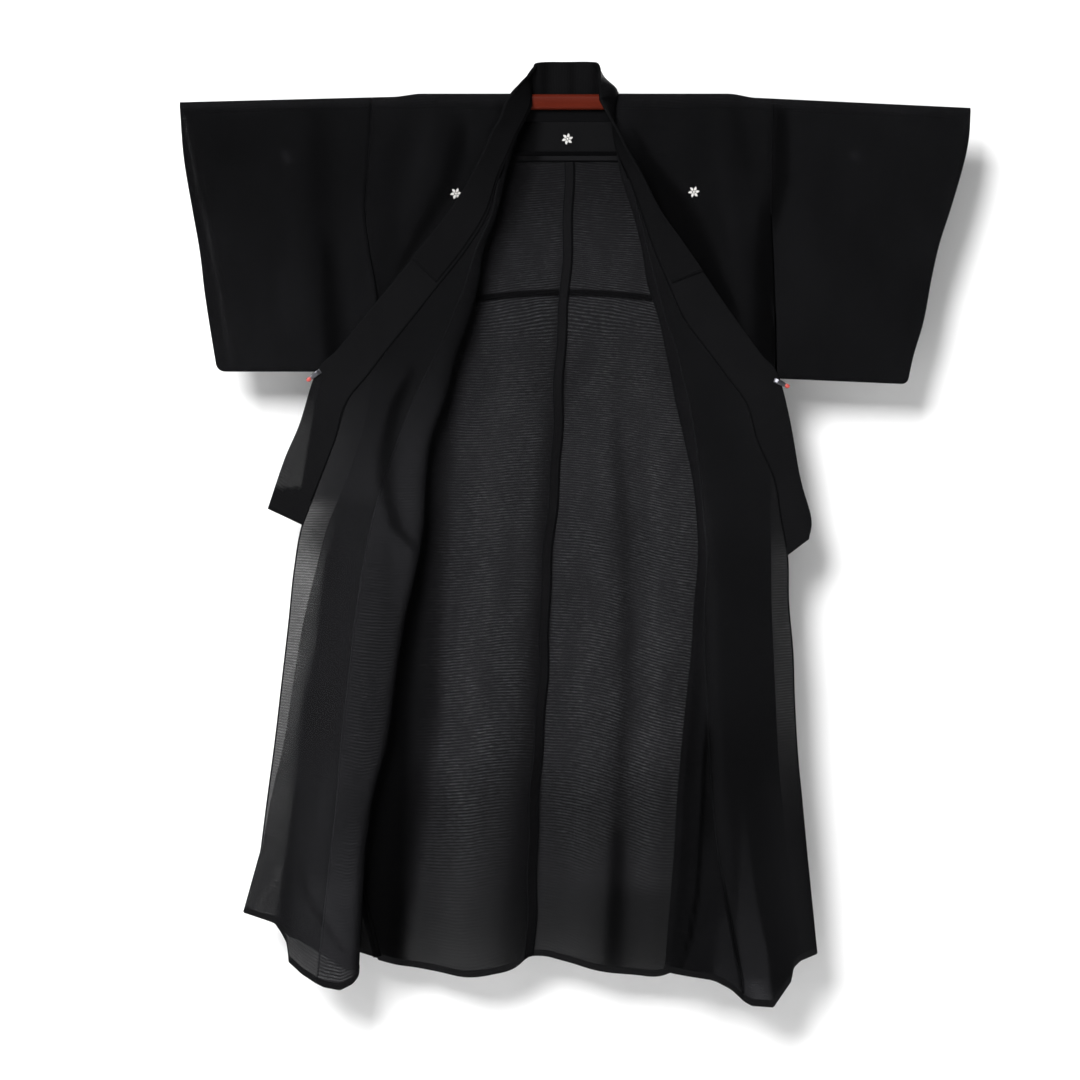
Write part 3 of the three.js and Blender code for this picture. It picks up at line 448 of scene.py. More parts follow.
# Between fanned folds at the right hem the cloth catches the light, and this is painted light: edges to the
# left and right of each, and how much lighter it is at the hem and at the top, in doublings.
LIT_WEDGES = {
    "left": [],
    "right": [
        (table("z x", [(-1190, 292), (-1269, 289), (-1361, 284), (-1449, 282), (-1563, 294)]),
         table("z x", [(-1190, 293), (-1255, 299), (-1312, 306), (-1379, 315), (-1444, 328), (-1487, 337),
                       (-1571, 346)]),
         0.2, 1.7),
        (table("z x", [(-1376, 257), (-1444, 249), (-1501, 241), (-1560, 236)]),
         table("z x", [(-1376, 259), (-1444, 271), (-1510, 283), (-1560, 292)]), 0.3, 1.1),
    ],
}
CHEST_CREASES = {
    "left": [
        crease([(-40, -198, 16), (-93, -204, 22), (-127, -212, 20), (-166, -228, 20), (-201, -250, 16),
                (-245, -277, 10), (-294, -306, 6)], -2, -1.1, 1, 1.6, 3),
        crease([(-8, -133, 6), (-28, -124, 8), (-58, -148, 9)], -1, -0.7),
        crease([(-20, -250, 14), (-100, -262, 18), (-180, -286, 18)], 1.2, 0.2),
        crease([(-60, -316, 16), (-160, -326, 20), (-260, -326, 18)], -1.5, -0.3),
    ],
    "right": [
        crease([(-30, 84, 14), (-107, 124, 24), (-142, 148, 30), (-177, 176, 36), (-226, 202, 34),
                (-275, 229, 26), (-324, 254, 18), (-373, 284, 8)], -2, -1.35, 1, 1.2, 4),
        crease([(-180, 345, 22), (-259, 344, 30), (-346, 346, 34), (-416, 346, 34), (-472, 350, 16)],
               -1, -1.5, 1, 2, 4),
        crease([(-10, 276, 10), (-60, 290, 12), (-120, 306, 12)], -1, -0.4),
        crease([(-120, 262, 14), (-240, 280, 16), (-340, 296, 16)], 1.2, 0.15),
    ],
}
ROLL_SHADE = {"left": 0.9, "right": 0.3}       # painted shade, in doublings, where a front rolls away
ROLL_WIDTH = 15.0
CHEST_SHADE, WING_SHADE, TURNED_SHADE = 0.65, 1.6, 0.12         # painted shade, in doublings, on each part of a front
SINGLE_PLY = 0.4               # how much clearer the left lapel's foot is
SIDE_TURN = 16.0               # how far the open side is turned in
FOLD_DEPTH = {"high": -3.2, "low": -7.0}       # depth of the fold behind a turned-back front
CLEAR = {"front": 0.5, "over_bar": 0.7, "over_arm": 0.5}
ROW_STEP = 7.5                 # between rows of points down the cloth
# Outer strip by height: openness of the overlap panel, where it ends inwards, and how open the plies are.
STRIP = {
    "left": table("z open inner plies", [
        (-640, 0.4, -400, 4), (-686, 0.4, -415, 4), (-712, 1.15, -414, 4), (-773, 1.22, -423, 4),
        (-817, 1.22, -436, 4), (-867, 1.16, -441, 4), (-941, 1.12, -451, 4.4), (-1038, 1.06, -469, 4.9),
        (-1125, 1.03, -480, 4.2), (-1210, 0.97, -489, 3.9), (-1297, 0.9, -500, 3.6), (-1400, 0.86, -517, 3.5),
        (-1430, 0.84, -522, 3.5), (-1465, 0.78, -527, 3.6), (-1560, 0.78, -540, 3.6)]),
    "right": table("z open inner plies", [
        (-740, 0.4, 900, 0.5), (-800, 1.0, 900, 0.5), (-1060, 0.95, 900, 0.5), (-1200, 0.45, 900, 0.5),
        (-1290, 0.2, 900, 0.5), (-1560, 0.18, 900, 0.5)]),
}


def front_row(side, z):
    """The table's columns at heights z. Below its last row each line runs straight to its own hem."""
    rows = FRONT[side]
    last = rows["z"][0]
    row = {name: reading(rows, "z", name, z) for name in rows if name != "z"}
    for name, (across, foot) in FRONT_HEM[side].items():
        row[name] = mix(row[name], across, np.clip((last - z) / (last - foot), 0, 1))
    return row


def let_down(z, foot):
    """Actual height of a row of cloth: lower down it bends, until the last row lies along the hem."""
    return z + (foot - HEM_FOOT) * np.clip((LIFT_FROM - z) / (LIFT_FROM - HEM_FOOT), 0, 1) ** 1.6


def lapel_depth(row, x):
    """Depth of the turned-back layer: from the far side of the roll to its depth at the edge."""
    share = np.abs(x - row["roll"]) / np.maximum(1, np.abs(row["edge"] - row["roll"]))
    return mix(row["near"] - 2 * row["radius"], row["far"], smooth(0, 1, share))


def across_at(line, z):
    """Place across of a line, a table of heights and places, at height z, straight between its rows."""
    return np.interp(z, line["z"], line["x"])


def foot_at(hem, x):
    """Height of a hem, a table of places and heights, at place x."""
    return np.interp(x, hem["x"], hem["z"])


def front_foot(side, places):
    """Height of the hem at each place across a front."""
    hem = FRONT_HEM[side]
    fold, roll, join = (hem[name][0] for name in ("fold", "roll", "join"))
    outer = foot_at(OUTER_HEM[side], np.interp(places, [1, 2, 2.5], [fold, 0.93 * roll + 0.07 * fold, roll]))
    wing = mix(hem["side"][1], outer, np.clip(places, 0, 1))
    turned = foot_at(LAPEL_HEM[side], np.interp(places, [2.5, 4], [roll, join]))
    return mix(wing, turned, smooth(2.0, 2.6, places))


def turned_back(side, x, z):
    """Rise and tone of a turned-back front: its creases, its lit wedges, and how light it is at height z, all
    painted light and shade.
    """
    rise, tone = pressed(LAPEL_CREASES[side], x, z)
    for left, right, high, low in LIT_WEDGES[side]:
        first, last = left["z"][-1], left["z"][0]
        x0, x1 = across_at(left, z), across_at(right, z)
        inside = smooth(x0 - 4, x0 + 6, x) * smooth(x1 + 4, x1 - 6, x) * smooth(first + 8, first - 60, z)
        tone = tone + inside * mix(high, low, np.clip((first - z) / (first - last), 0, 1))
    # Painted light on the left lapel lower down; on the right a little painted light, then painted shade near
    # the foot.
    lift = {"left": -0.15 + 1.3 * smooth(-400, -680, z),
            "right": 0.15 * smooth(-260, -620, z) - 0.6 * smooth(-960, -1200, z)}[side]
    return rise, tone + lift


def sheet_points(x, y, z):
    """Points in metres from places in millimetres."""
    return np.stack(np.broadcast_arrays(x, y, z), axis=2) * MM


def front(side, heights, places):
    """A front's points, tones and openness. A place is 0 at the side seam, 1 at the fold, 2 at the start of
    the roll, 3 at its end and 4 at the overlap seam. The roll is an arc, and the rest is straight or
    gently bent, with the creases added."""
    c = np.asarray(places, float)[None, :]
    z = let_down(np.asarray(heights, float)[:, None], front_foot(side, c))
    row = front_row(side, z)
    inward, is_left = -SIGN[side], side == "left"
    # The lines and depths that the parts of a front start and end on.
    folded = smooth(SIDE_SEAM + 20, SIDE_SEAM - 60, z)
    side_y = mix(-LAYER, -REST - 0.4, smooth(SIDE_SEAM + 90, SIDE_SEAM - 20, z))
    fold_y = mix(-LAYER, mix(FOLD_DEPTH["high"], FOLD_DEPTH["low"], smooth(-600, -1000, z)), folded)
    turned = np.radians(row["turn"])
    reach = row["radius"] * np.sin(np.minimum(turned, np.pi / 2))
    tail = np.abs(row["join"] - row["roll"]) * np.maximum(np.cos(turned), 0)
    arc_x = row["roll"] - inward * (reach + tail)
    # From the side seam to the fold, and from there to the roll.
    t = np.clip(c, 0, 1)
    wing_x = mix(row["side"] + inward * SIDE_TURN * t, mix(row["side"], row["fold"], t), folded)
    wing_y = mix(side_y, mix(side_y, fold_y + 1.8, t), folded)
    t = np.clip(c - 1, 0, 1)
    outer_x = mix(mix(row["side"] + inward * SIDE_TURN, row["fold"], folded), arc_x, t)
    outer_y = mix(mix(side_y, fold_y, folded), row["near"], smooth(0, 0.9, t))
    # Round the roll, and along the turned-back layer to the seam.
    angle = turned * np.clip(c - 2, 0, 1)
    roll_x = arc_x + inward * row["radius"] * np.sin(angle)
    roll_y = row["near"] - row["radius"] * (1 - np.cos(angle))
    t = np.clip(c - 3, 0, 1)
    end_x = arc_x + inward * row["radius"] * np.sin(turned)
    end_y = row["near"] - row["radius"] * (1 - np.cos(turned))
    flat = smooth(165, 179, row["turn"])
    inner_x = mix(end_x, mix(end_x + inward * 2 * np.cos(turned), row["join"], flat), t)
    inner_y = mix(end_y, lapel_depth(row, inner_x), smooth(0, 0.3, t))
    inner_y = mix(end_y - 2 * np.sin(turned) * t, inner_y, flat)
    x = np.select([c <= 1, c <= 2, c <= 3], [wing_x, outer_x, roll_x], inner_x)
    y = np.select([c <= 1, c <= 2, c <= 3], [wing_y, outer_y, roll_y], inner_y)
    # Creases, each on its own part.
    chest_rise, chest_tone = pressed(CHEST_CREASES[side], x, z)
    lapel_rise, lapel_tone = turned_back(side, x, z)
    before_roll = (1 - smooth(1.8, 2.0, c)) * smooth(-560, -420, z)
    past_fold, on_lapel = smooth(0.3, 0.9, c), smooth(2.8, 3.1, c)
    y = y - chest_rise * past_fold * before_roll - lapel_rise * on_lapel
    # How light it is, in doublings: the creases' painted shade and light, and painted shade on each part
    # and along the roll.
    rolled = smooth(2.2, 3.0, c)
    chest = mix(1.0, past_fold, folded) * before_roll
    tone = (chest_tone - CHEST_SHADE) * chest + lapel_tone * mix(rolled, on_lapel, 0.5)
    tone = tone - rolled * (ROLL_SHADE[side] * bell(x - row["roll"], ROLL_WIDTH) + TURNED_SHADE)
    tone = tone - WING_SHADE * smooth(0.95, 0.3, c) * smooth(-600, -760, z) * is_left
    # How much light passes: more in the outer strip, where fewer plies lie on each other.
    strip = STRIP[side]
    outside = -inward * (x - np.interp(z, strip["z"], strip["inner"]))
    in_strip = smooth(-4, 4, outside) * (1 - smooth(1.7, 1.9, c))
    single = smooth(2.9, 3.1, c) * smooth(-1380, -1470, z) * is_left
    clear = mix(CLEAR["front"], np.interp(z, strip["z"], strip["plies"]), in_strip) + SINGLE_PLY * single
    return sheet_points(x, y, z), tone, clear + 0 * x


def strip_open(side, z):
    """How much light the outer strip of a front lets through at height z."""
    return np.interp(z, STRIP[side]["z"], STRIP[side]["open"])


def side_line(side, z):
    """The side seam across, at height z."""
    return front_row(side, z)["side"]


def back_depth(x, z):
    """Depth of the back: on the bar's back face at the top, in long folds below, drawn in at the sides."""
    centre = reading(CENTRE_BACK, "z", "x", z)
    calm = 1 - bell(x - centre, 45)
    depth = LAYER + 3 * smooth(-40, HEM_FOOT, z)
    for fold in BACK_FOLDS:
        at = mix(fold["top"], fold["hem"], z / HEM_FOOT)
        depth = depth + fold["depth"] * bell(x - at, fold["width"]) * smooth(fold["start"], -1450, z) * calm
    side = np.where(x < centre, side_line("left", z), side_line("right", z))
    near = 1 - smooth(0, 70, np.abs(x - side))
    return mix(depth, REST + 0.4, near * smooth(SIDE_SEAM + 90, SIDE_SEAM - 20, z))


def tuck_line(x):
    """Height of the waist tuck, a shallow arch."""
    return TUCK["height"] - TUCK["arch"] * (x - TUCK["centre"]) ** 2


def back(x, z):
    """The back at place x and nominal height z: points, tones and openness. Rows bend with the tuck, the
    cloth stands in along it, and the last row lies along the hem."""
    near_tuck = 1 - smooth(12, 90, np.abs(z - TUCK["height"]))
    share = np.clip((-900 - z) / (-900 - HEM_FOOT), 0, 1) ** 2
    height = z + near_tuck * (tuck_line(x) - TUCK["height"])
    height = height + share * (reading(BACK_HEM, "x", "z", x) - HEM_FOOT)
    in_tuck = 1 - smooth(3, 7.5, np.abs(height - tuck_line(x)))
    rise, tone = pressed(BACK_CREASES, x, height)
    # Painted shade: past the deep fold's line, beside the seam, and in the deepest part.
    line = reading(DEEP_FOLD, "z", "x", height)
    softer = 10 * smooth(-400, -200, height)
    tone = tone - BACK_SHADE["fold"] * smooth(line + 14 + softer, line - 22, x) * smooth(-60, -130, height)
    beside = x - reading(CENTRE_BACK, "z", "x", height) - 4
    beside = np.abs(beside / np.where(beside < 0, reading(SEAM_SHADE, "z", "width", height), 5.0))
    tone = tone - reading(SEAM_SHADE, "z", "tone", height) * np.exp(-beside ** 2.5)
    deepest = reading(DEEPEST, "z", "x", height)
    tone = tone - BACK_SHADE["deepest"] * smooth(deepest + 12, deepest - 12, x) * smooth(-620, -860, height)
    # Folds pass less light, and the cloth is darker at its foot, in the tuck and for a way below it.
    lower = smooth(-40, -400, height)
    clear = mix(BACK_CLEAR["top"], BACK_CLEAR["below"], lower) * 2.0 ** (0.8 * np.minimum(tone, 0.3))
    # Painted light: the back made lighter at its top, and more so below.
    tone = tone + mix(BACK_LIGHT["top"], BACK_LIGHT["below"], lower)
    tone = tone - BACK_SHADE["low"] * smooth(-1130, -1240, height)
    tone = tone - BACK_SHADE["foot"] * smooth(-1320, -1460, height)
    tone = tone - BACK_SHADE["below_tuck"] * bell(height + 460, 100) - BACK_SHADE["tuck"] * in_tuck
    depth = back_depth(x, height) - TUCK["depth"] * in_tuck - rise * smooth(-60, -140, height)
    return sheet_points(x, depth, height), tone, clear * (1 - 0.7 * in_tuck)


NECK_END = {"left": -77.0, "right": 72.0}
STITCHED = 0.15                # half the gap at the centre seam
BODY_PLACES = np.concatenate([np.linspace(0, 1, 9), np.linspace(1, 2, 33)[1:], np.linspace(2, 3, 11)[1:],
                              np.linspace(3, 4, 15)[1:]])


def ridge(x):
    """Height of the cloth's middle where it goes over the bar and its drooping arms."""
    across = np.abs(x)
    droop = np.tan(np.where(x < 0, ARM_DROOP["left"], ARM_DROOP["right"]))
    over_arm = ARM["height"] / 2 + REST - (np.maximum(across, RIDGE_ARM) - BAR["half"]) * droop
    return mix(BAR["height"] / 2 + REST, over_arm, smooth(RIDGE_FLAT, RIDGE_ARM, across))


def over_bar(x):
    """The half turn over the bar: an arc from front to back at each place across."""
    angle = np.linspace(0, np.pi, 13)[:, None]
    return sheet_points(x, -LAYER * np.cos(angle), ridge(x) - LAYER + LAYER * np.sin(angle))


def rising(start, end, step):
    """Even steps from start to end, both kept."""
    return np.linspace(start, end, max(2, int(round(abs(end - start) / step)) + 1))


def over_and_down(face, over, rear, clear):
    """One length of cloth from its front, over the bar and down its back: points, tones and openness."""
    blank = np.zeros(over.shape[:2])
    middle = (over, blank, blank + clear)
    return tuple(np.concatenate(parts) for parts in zip(face, middle, rear))


def body(side):
    """One body length: front hem to the bar, over it, down the back to the hem."""
    face = front(side, rising(HEM_FOOT, -10, ROW_STEP), BODY_PLACES)
    top = face[0][-1, :, 0] / MM
    shares = (top - top[0]) / (top[-1] - top[0])
    over = over_bar(mix(top[0], NECK_END[side], shares))
    arc = np.radians(np.linspace(4, 90, 14))
    neck_z = mix(ridge(np.array(0.0)) - LAYER, NECK_DEPTH, np.sin(arc))
    z = np.concatenate([neck_z, rising(NECK_DEPTH, -320, 7)[1:], rising(-320, -356, 1.2)[1:],
                        rising(-356, HEM_FOOT, ROW_STEP)[1:]])
    beside = SIGN[side] * STITCHED
    middle = CENTRE_BACK["x"][-1] + beside
    centre = np.concatenate([middle + (NECK_END[side] - middle) * np.cos(arc),
                             reading(CENTRE_BACK, "z", "x", z[len(arc):]) + beside])
    even = np.linspace(0, 1, len(shares))
    spread = mix(shares[None, :], even[None, :], smooth(-5, -260, z)[:, None])
    x = mix(side_line(side, z)[:, None], centre[:, None], spread)
    return over_and_down(face, over, back(x, z[:, None]), CLEAR["over_bar"])


def row_pitch(z):
    """Spacing of the weft rows, by height in metres: a little wider towards the hem."""
    return np.interp(z, [-1.5, -0.2], [0.0056, 0.0046])


def grid_faces(index):
    """Quads over the last two axes of a grid of point numbers."""
    corners = [index[..., :-1, :-1], index[..., 1:, :-1], index[..., 1:, 1:], index[..., :-1, 1:]]
    return np.stack(corners, axis=-1).reshape(-1, 4)


def cloth_piece(name, node, grid, thickness, material, tone=0.0, clear=1.0, offset=0.0, slant=0.0,
                skew=0.0, even=0.0):
    """A closed thin sheet of silk, standing for its CAD node where it has one: each grid point is moved along
    its normal by offset, plus and minus half the thickness, with the border closed. The UV map is metres
    across, and rows of weft along the cloth. The second face's rows are turned by slant, and both faces'
    rows by skew, in rows for each metre across. tone, clear and even are kept at each point."""
    rows, columns = grid.shape[:2]
    normal = np.cross(np.gradient(grid, axis=0), np.gradient(grid, axis=1))
    normal /= np.maximum(np.linalg.norm(normal, axis=2, keepdims=True), 1e-12)
    points = np.concatenate([(grid + normal * (offset + half * thickness) * MM).reshape(-1, 3)
                             for half in (0.5, -0.5)])
    count = rows * columns
    index = np.arange(count).reshape(rows, columns)
    quads = grid_faces(index)
    border = np.concatenate([index[0], index[1:, -1], index[-1, -2::-1], index[-2:0:-1, 0]])
    ahead = np.roll(border, -1)
    rim = np.stack([border, ahead, ahead + count, border + count], axis=1)
    faces = np.concatenate([quads, quads[:, ::-1] + count, rim])
    obj = mesh_object(name, points, faces, material)
    across = np.linalg.norm(np.diff(grid, axis=1), axis=2)
    along = np.linalg.norm(np.diff(grid, axis=0), axis=2).mean(axis=1)
    along = along / row_pitch(grid[1:, :, 2].mean(axis=1))
    u = np.concatenate([np.zeros((rows, 1)), np.cumsum(across, axis=1)], axis=1)
    v = np.concatenate([[0], np.cumsum(along)])[:, None] + skew * u
    uv = np.concatenate([np.stack([u, v + turn * u], axis=2).reshape(-1, 2) for turn in (0.0, slant)])
    layer = obj.data.uv_layers.new(name="cloth")
    layer.data.foreach_set("uv", uv[faces.reshape(-1)].astype(np.float32).reshape(-1))
    for attribute, values in (("tone", tone), ("clear", clear), ("even", even)):
        kept = obj.data.attributes.new(attribute, "FLOAT", "POINT")
        values = np.tile(np.broadcast_to(values, (rows, columns)).reshape(-1), 2)
        kept.data.foreach_set("value", values.astype(np.float32))
    return piece(obj, "silk", *([node] if node else []))


EVEN_ROWS = 0.2                # a row's strength where the rows can't be told apart
MOST_THROUGH = 0.92            # share of light that passes the most open cloth


def gauze_group():
    """The open weave: rows across the cloth, each a bell in the distance along it, pushed about by slow
    noise and broken by slubs. Tone is in doublings of lightness and carries each piece's painted light and
    shade. Clear multiplies what passes through, and Even, from 0 to 1, makes all rows alike."""
    group = bpy.data.node_groups.new("gauze_rows", "ShaderNodeTree")
    for way, sockets in (
            ("INPUT", (("Cloth", "Vector"), ("Tone", "Float"), ("Clear", "Float"), ("Ground", "Color"),
                       ("Row", "Color"), ("Ground Through", "Float"), ("Row Through", "Float"),
                       ("Even", "Float"))),
            ("OUTPUT", (("Color", "Color"), ("Alpha", "Float"), ("Height", "Float")))):
        for name, kind in sockets:
            group.interface.new_socket(name, in_out=way, socket_type=f"NodeSocket{kind}")
    nodes, links = group.nodes, group.links
    source = nodes.new("NodeGroupInput").outputs
    result = nodes.new("NodeGroupOutput").inputs

    def math(operation, a, b=0.0, clamp=False):
        node = nodes.new("ShaderNodeMath")
        node.operation = operation
        node.use_clamp = clamp
        for socket, value in zip(node.inputs, (a, b)):
            if isinstance(value, (int, float)):
                socket.default_value = value
            else:
                links.new(value, socket)
        return node.outputs[0]

    def swing(stretch, middle, strength, detail=2.0, clamp=False):
        """Noise in the cloth's own measures, about a middle value, made stronger."""
        scaled = nodes.new("ShaderNodeVectorMath")
        scaled.operation = "MULTIPLY"
        scaled.inputs[1].default_value = stretch
        links.new(source["Cloth"], scaled.inputs[0])
        node = add(nodes, "TexNoise", Scale=1.0, Detail=detail)
        links.new(scaled.outputs[0], node.inputs["Vector"])
        return math("MULTIPLY", math("SUBTRACT", node.outputs["Fac"], middle), strength, clamp)

    def blend(a, b, share, kind="FLOAT"):
        node = nodes.new("ShaderNodeMix")
        node.data_type = kind
        ends = (2, 3) if kind == "FLOAT" else (6, 7)
        links.new(share, node.inputs[0])
        links.new(a, node.inputs[ends[0]])
        links.new(b, node.inputs[ends[1]])
        return node.outputs[0 if kind == "FLOAT" else 2]

    split = nodes.new("ShaderNodeSeparateXYZ")
    links.new(source["Cloth"], split.inputs[0])
    pushed = math("ADD", swing((20, 0.10, 1), 0.5, 1.0), swing((4.5, 0.004, 1), 0.5, 10.0, 0.0))
    wave = math("MULTIPLY", math("ADD", split.outputs["Y"], pushed), 2 * np.pi)
    crest = math("POWER", math("MULTIPLY", math("ADD", math("COSINE", wave), 1.0), 0.5), 1.7)
    slub = swing((90, 0.9, 1), 0.05, 1.6, clamp=True)
    beat = math("ADD", math("MULTIPLY", swing((26, 0.05, 1), 0.25, 2.4, clamp=True), 0.55), 0.45)
    rows = math("MULTIPLY", crest, math("MULTIPLY", slub, beat))
    rows = math("ADD", rows, math("MULTIPLY", math("SUBTRACT", EVEN_ROWS, rows), source["Even"]))
    lightness = math("POWER", 2.0, math("ADD", source["Tone"], swing((7, 0.03, 1), 0.5, 0.7, 3.0)))
    colour = nodes.new("ShaderNodeVectorMath")
    colour.operation = "SCALE"
    links.new(blend(source["Ground"], source["Row"], rows, "RGBA"), colour.inputs[0])
    links.new(lightness, colour.inputs["Scale"])
    links.new(colour.outputs[0], result["Color"])
    through = blend(source["Ground Through"], source["Row Through"], rows)
    passed = math("MINIMUM", math("MULTIPLY", through, source["Clear"]), MOST_THROUGH)
    links.new(math("SUBTRACT", 1.0, passed), result["Alpha"])
    links.new(rows, result["Height"])
    return group


GAUZE = gauze_group()


def silk(name, ground, row, through, row_through):
    """Black silk. ground and row are the greys between and on the rows of the weave, with a little more
    blue given apart. row is the lighter, as painted light for what comes through the open rows. through
    and row_through are the share of light that passes one face there."""
    material, nodes, links, principled = node_material(name, Roughness=0.7, IOR=1.04)
    weave = nodes.new("ShaderNodeGroup")
    weave.node_tree = GAUZE
    grey, blue = ground
    row_grey, row_blue = row
    preset(weave, {"Ground": (grey, grey, blue, 1), "Row": (row_grey, row_grey, row_blue, 1),
                   "Ground Through": through, "Row Through": row_through})
    uv = nodes.new("ShaderNodeUVMap")
    uv.uv_map = "cloth"
    links.new(uv.outputs[0], weave.inputs["Cloth"])
    for socket, attribute in (("Tone", "tone"), ("Clear", "clear"), ("Even", "even")):
        kept = nodes.new("ShaderNodeAttribute")
        kept.attribute_name = attribute
        links.new(kept.outputs["Fac"], weave.inputs[socket])
    bump = add(nodes, "Bump", Strength=0.2, Distance=0.0003)
    links.new(weave.outputs["Height"], bump.inputs["Height"])
    links.new(weave.outputs["Color"], principled.inputs["Base Color"])
    links.new(weave.outputs["Alpha"], principled.inputs["Alpha"])
    links.new(bump.outputs[0], principled.inputs["Normal"])
    return material


GAUZE_SILK = silk("gauze_silk", (0.0040, 0.0044), (0.0120, 0.0130), 0.11, 0.40)
THREAD_SILK = silk("seam_silk", (0.0026, 0.0029), (0.0034, 0.0037), 0.0, 0.0)
RIBBON = 0.3                   # thickness of a strip of seam or hem


def ribbon(name, path, width, lift, material, tone=0.0):
    """A narrow dense strip along a path of points in metres, lying flat to the front and lifted by lift."""
    path = np.asarray(path, float)
    way = np.gradient(path, axis=0)
    way[:, 1] = 0
    way /= np.linalg.norm(way, axis=1, keepdims=True)
    aside = np.stack([way[:, 2], 0 * way[:, 0], -way[:, 0]], axis=1) * width / 2 * MM
    middle = path - np.array([0, lift, 0]) * MM
    grid = np.stack([middle - aside, middle, middle + aside], axis=1)
    return cloth_piece(name, None, grid, RIBBON, material, tone, 0.0)


SLOPED_ROWS = {"left": 0, "right": 34}         # how far the back's rows slope low down, in rows a metre
# Tones of the side seams' allowances: the left is much darker, as painted shade where it shows in the shade
# behind the left front.
SEAM_TONE = {"left": -2.4, "right": -0.6}
for side in SIGN:
    grid, tone, clear = body(side)
    behind = np.arange(len(grid))[:, None] > len(grid) / 2
    length = cloth_piece(f"gauze_body_{side}", f"body_{side}", grid, CLOTH, GAUZE_SILK, tone, clear,
                         skew=SLOPED_ROWS[side] * smooth(-0.36, -0.75, grid[..., 2]) * behind,
                         even=0.8 * smooth(-1.10, -1.42, grid[..., 2]) * behind)
    z = rising(SIDE_SEAM, HEM_FOOT + 4, 8)
    allowance = ribbon(f"side_seam_{side}", np.stack([side_line(side, z), 0 * z, z], axis=1) * MM, 14, 0,
                       GAUZE_SILK, SEAM_TONE[side])

# ============================================================ the overlap panels
# A narrow straight strip of the same gauze between each front and the collar, 16 cm wide at the hem.
OKUMI_TOP = -136.0


def overlap(side, heights, shares):
    """The overlap panel from the front's seam (0) to the free edge (1), at the turned-back layer's depth:
    points, tones and openness."""
    t = np.asarray(shares, float)[None, :]
    hem = FRONT_HEM[side]
    foot = foot_at(LAPEL_HEM[side], mix(hem["join"][0], hem["edge"][0], t))
    z = let_down(np.asarray(heights, float)[:, None], foot)
    row = front_row(side, z)
    x = mix(row["join"] + SIGN[side] * PARTED, row["edge"], t)
    rise, tone = turned_back(side, x, z)
    return sheet_points(x, lapel_depth(row, x) - rise, z), tone, strip_open(side, z) + 0 * t


OVERLAP_SILK = silk("overlap_silk", (0.0043, 0.0047), (0.0056, 0.0060), 0.24, 0.38)
COLLAR_FOOT = {"left": -712, "right": -788}    # the collar's seam, with a strip of painted shadow on it, is seen above this height
for side in SIGN:
    heights = rising(HEM_FOOT, OKUMI_TOP, ROW_STEP)
    grid, tone, clear = overlap(side, heights, np.linspace(0, 1, 33))
    panel = cloth_piece(f"gauze_overlap_{side}", f"okumi_{side}", grid, CLOTH, OVERLAP_SILK, tone, clear)
    seam, seam_tone, _ = overlap(side, heights, [0.0])
    # The overlap seam's strip takes the panel's tone there, painted light and shade included, a little
    # darker.
    pressed_seam = ribbon(f"overlap_seam_{side}", seam[:, 0], 3.0, 0.3, GAUZE_SILK, seam_tone - 0.15)
    # A dark strip lies along the collar's seam: its seam line and the painted shadow in its groove.
    groove = overlap(side, heights[heights > COLLAR_FOOT[side]], [1.0])[0][:, 0]
    collar_seam_shadow = ribbon(f"collar_seam_shadow_{side}", groove, 2.2, 1.2, THREAD_SILK, -0.3)

# ============================================================ the sleeves
# One length of gauze for each sleeve, folded over the arm of the hanger, closed at the foot and at the
# lower half of the cuff, and open beside the body below the armhole.
CUFF_END = 0.5
SLEEVE = {
    "left": {"bottom": (-472, -472), "corner": 16, "rows": table("share outer inner", [
        (0, -691, -355), (0.2, -684, -360), (0.4, -669, -367), (0.55, -657, -359), (0.72, -648, -346),
        (0.88, -637, -345), (1, -628, -345)]),
        "trough": {"top": -455, "foot": -430, "width": 24, "depth": 7}, "lift": 0.7, "dim": 0.75},
    "right": {"bottom": (-484, -494), "corner": 13, "rows": table("share outer inner", [
        (0, 692, 346), (0.08, 690, 345), (0.15, 685, 344), (0.22, 677, 344), (0.36, 658, 343),
        (0.51, 636, 346), (0.63, 624, 349), (0.79, 610, 352), (0.93, 591, 353), (1, 584, 354)]),
        "trough": {"top": 362, "foot": 352, "width": 20, "depth": 5}, "lift": 0.1, "dim": 0.4},
}
SLEEVE_CREASES = {
    "left": [
        crease([(-20, -452, 26), (-120, -444, 28), (-246, -436, 30), (-361, -430, 28), (-470, -427, 22)],
               0, -0.5, 1.5, 1, 3),
        crease([(-250, -437, 12), (-340, -430, 18), (-400, -426, 20), (-470, -424, 16)], 0, -1.1, 1.6, 1),
        crease([(-200, -500, 20), (-300, -498, 26), (-400, -496, 24)], 1, 0.15),
        crease([(-30, -600, 60), (-110, -600, 60)], 0, -0.25),
        crease([(-86, -504, 8), (-106, -504, 8)], 0, 1.0),
    ],
    "right": [
        crease([(-10, 360, 16), (-84, 361, 17), (-136, 361, 16), (-171, 354, 14), (-215, 346, 13)],
               0, -1.2, 1, 1.2, 4),
        crease([(-200, 400, 22), (-300, 406, 26), (-400, 400, 24)], 1, 0.15),
        crease([(-86, 490, 8), (-104, 490, 8)], 0, 0.8),
    ],
}
# Inside each cuff runs a sheer line, where only one wall of the sleeve covers the light. More passes
# there, and the line is also made lighter as painted light.
SHEER = {
    "left": {**table("z x", [(-8, -687), (-89, -672), (-170, -655), (-266, -634), (-332, -622), (-385, -613),
                             (-449, -602)]), "open": 0.4},
    "right": {**table("z x", [(-26, 684), (-84, 674), (-122, 665), (-150, 658), (-480, 590)]), "open": 0.3},
}


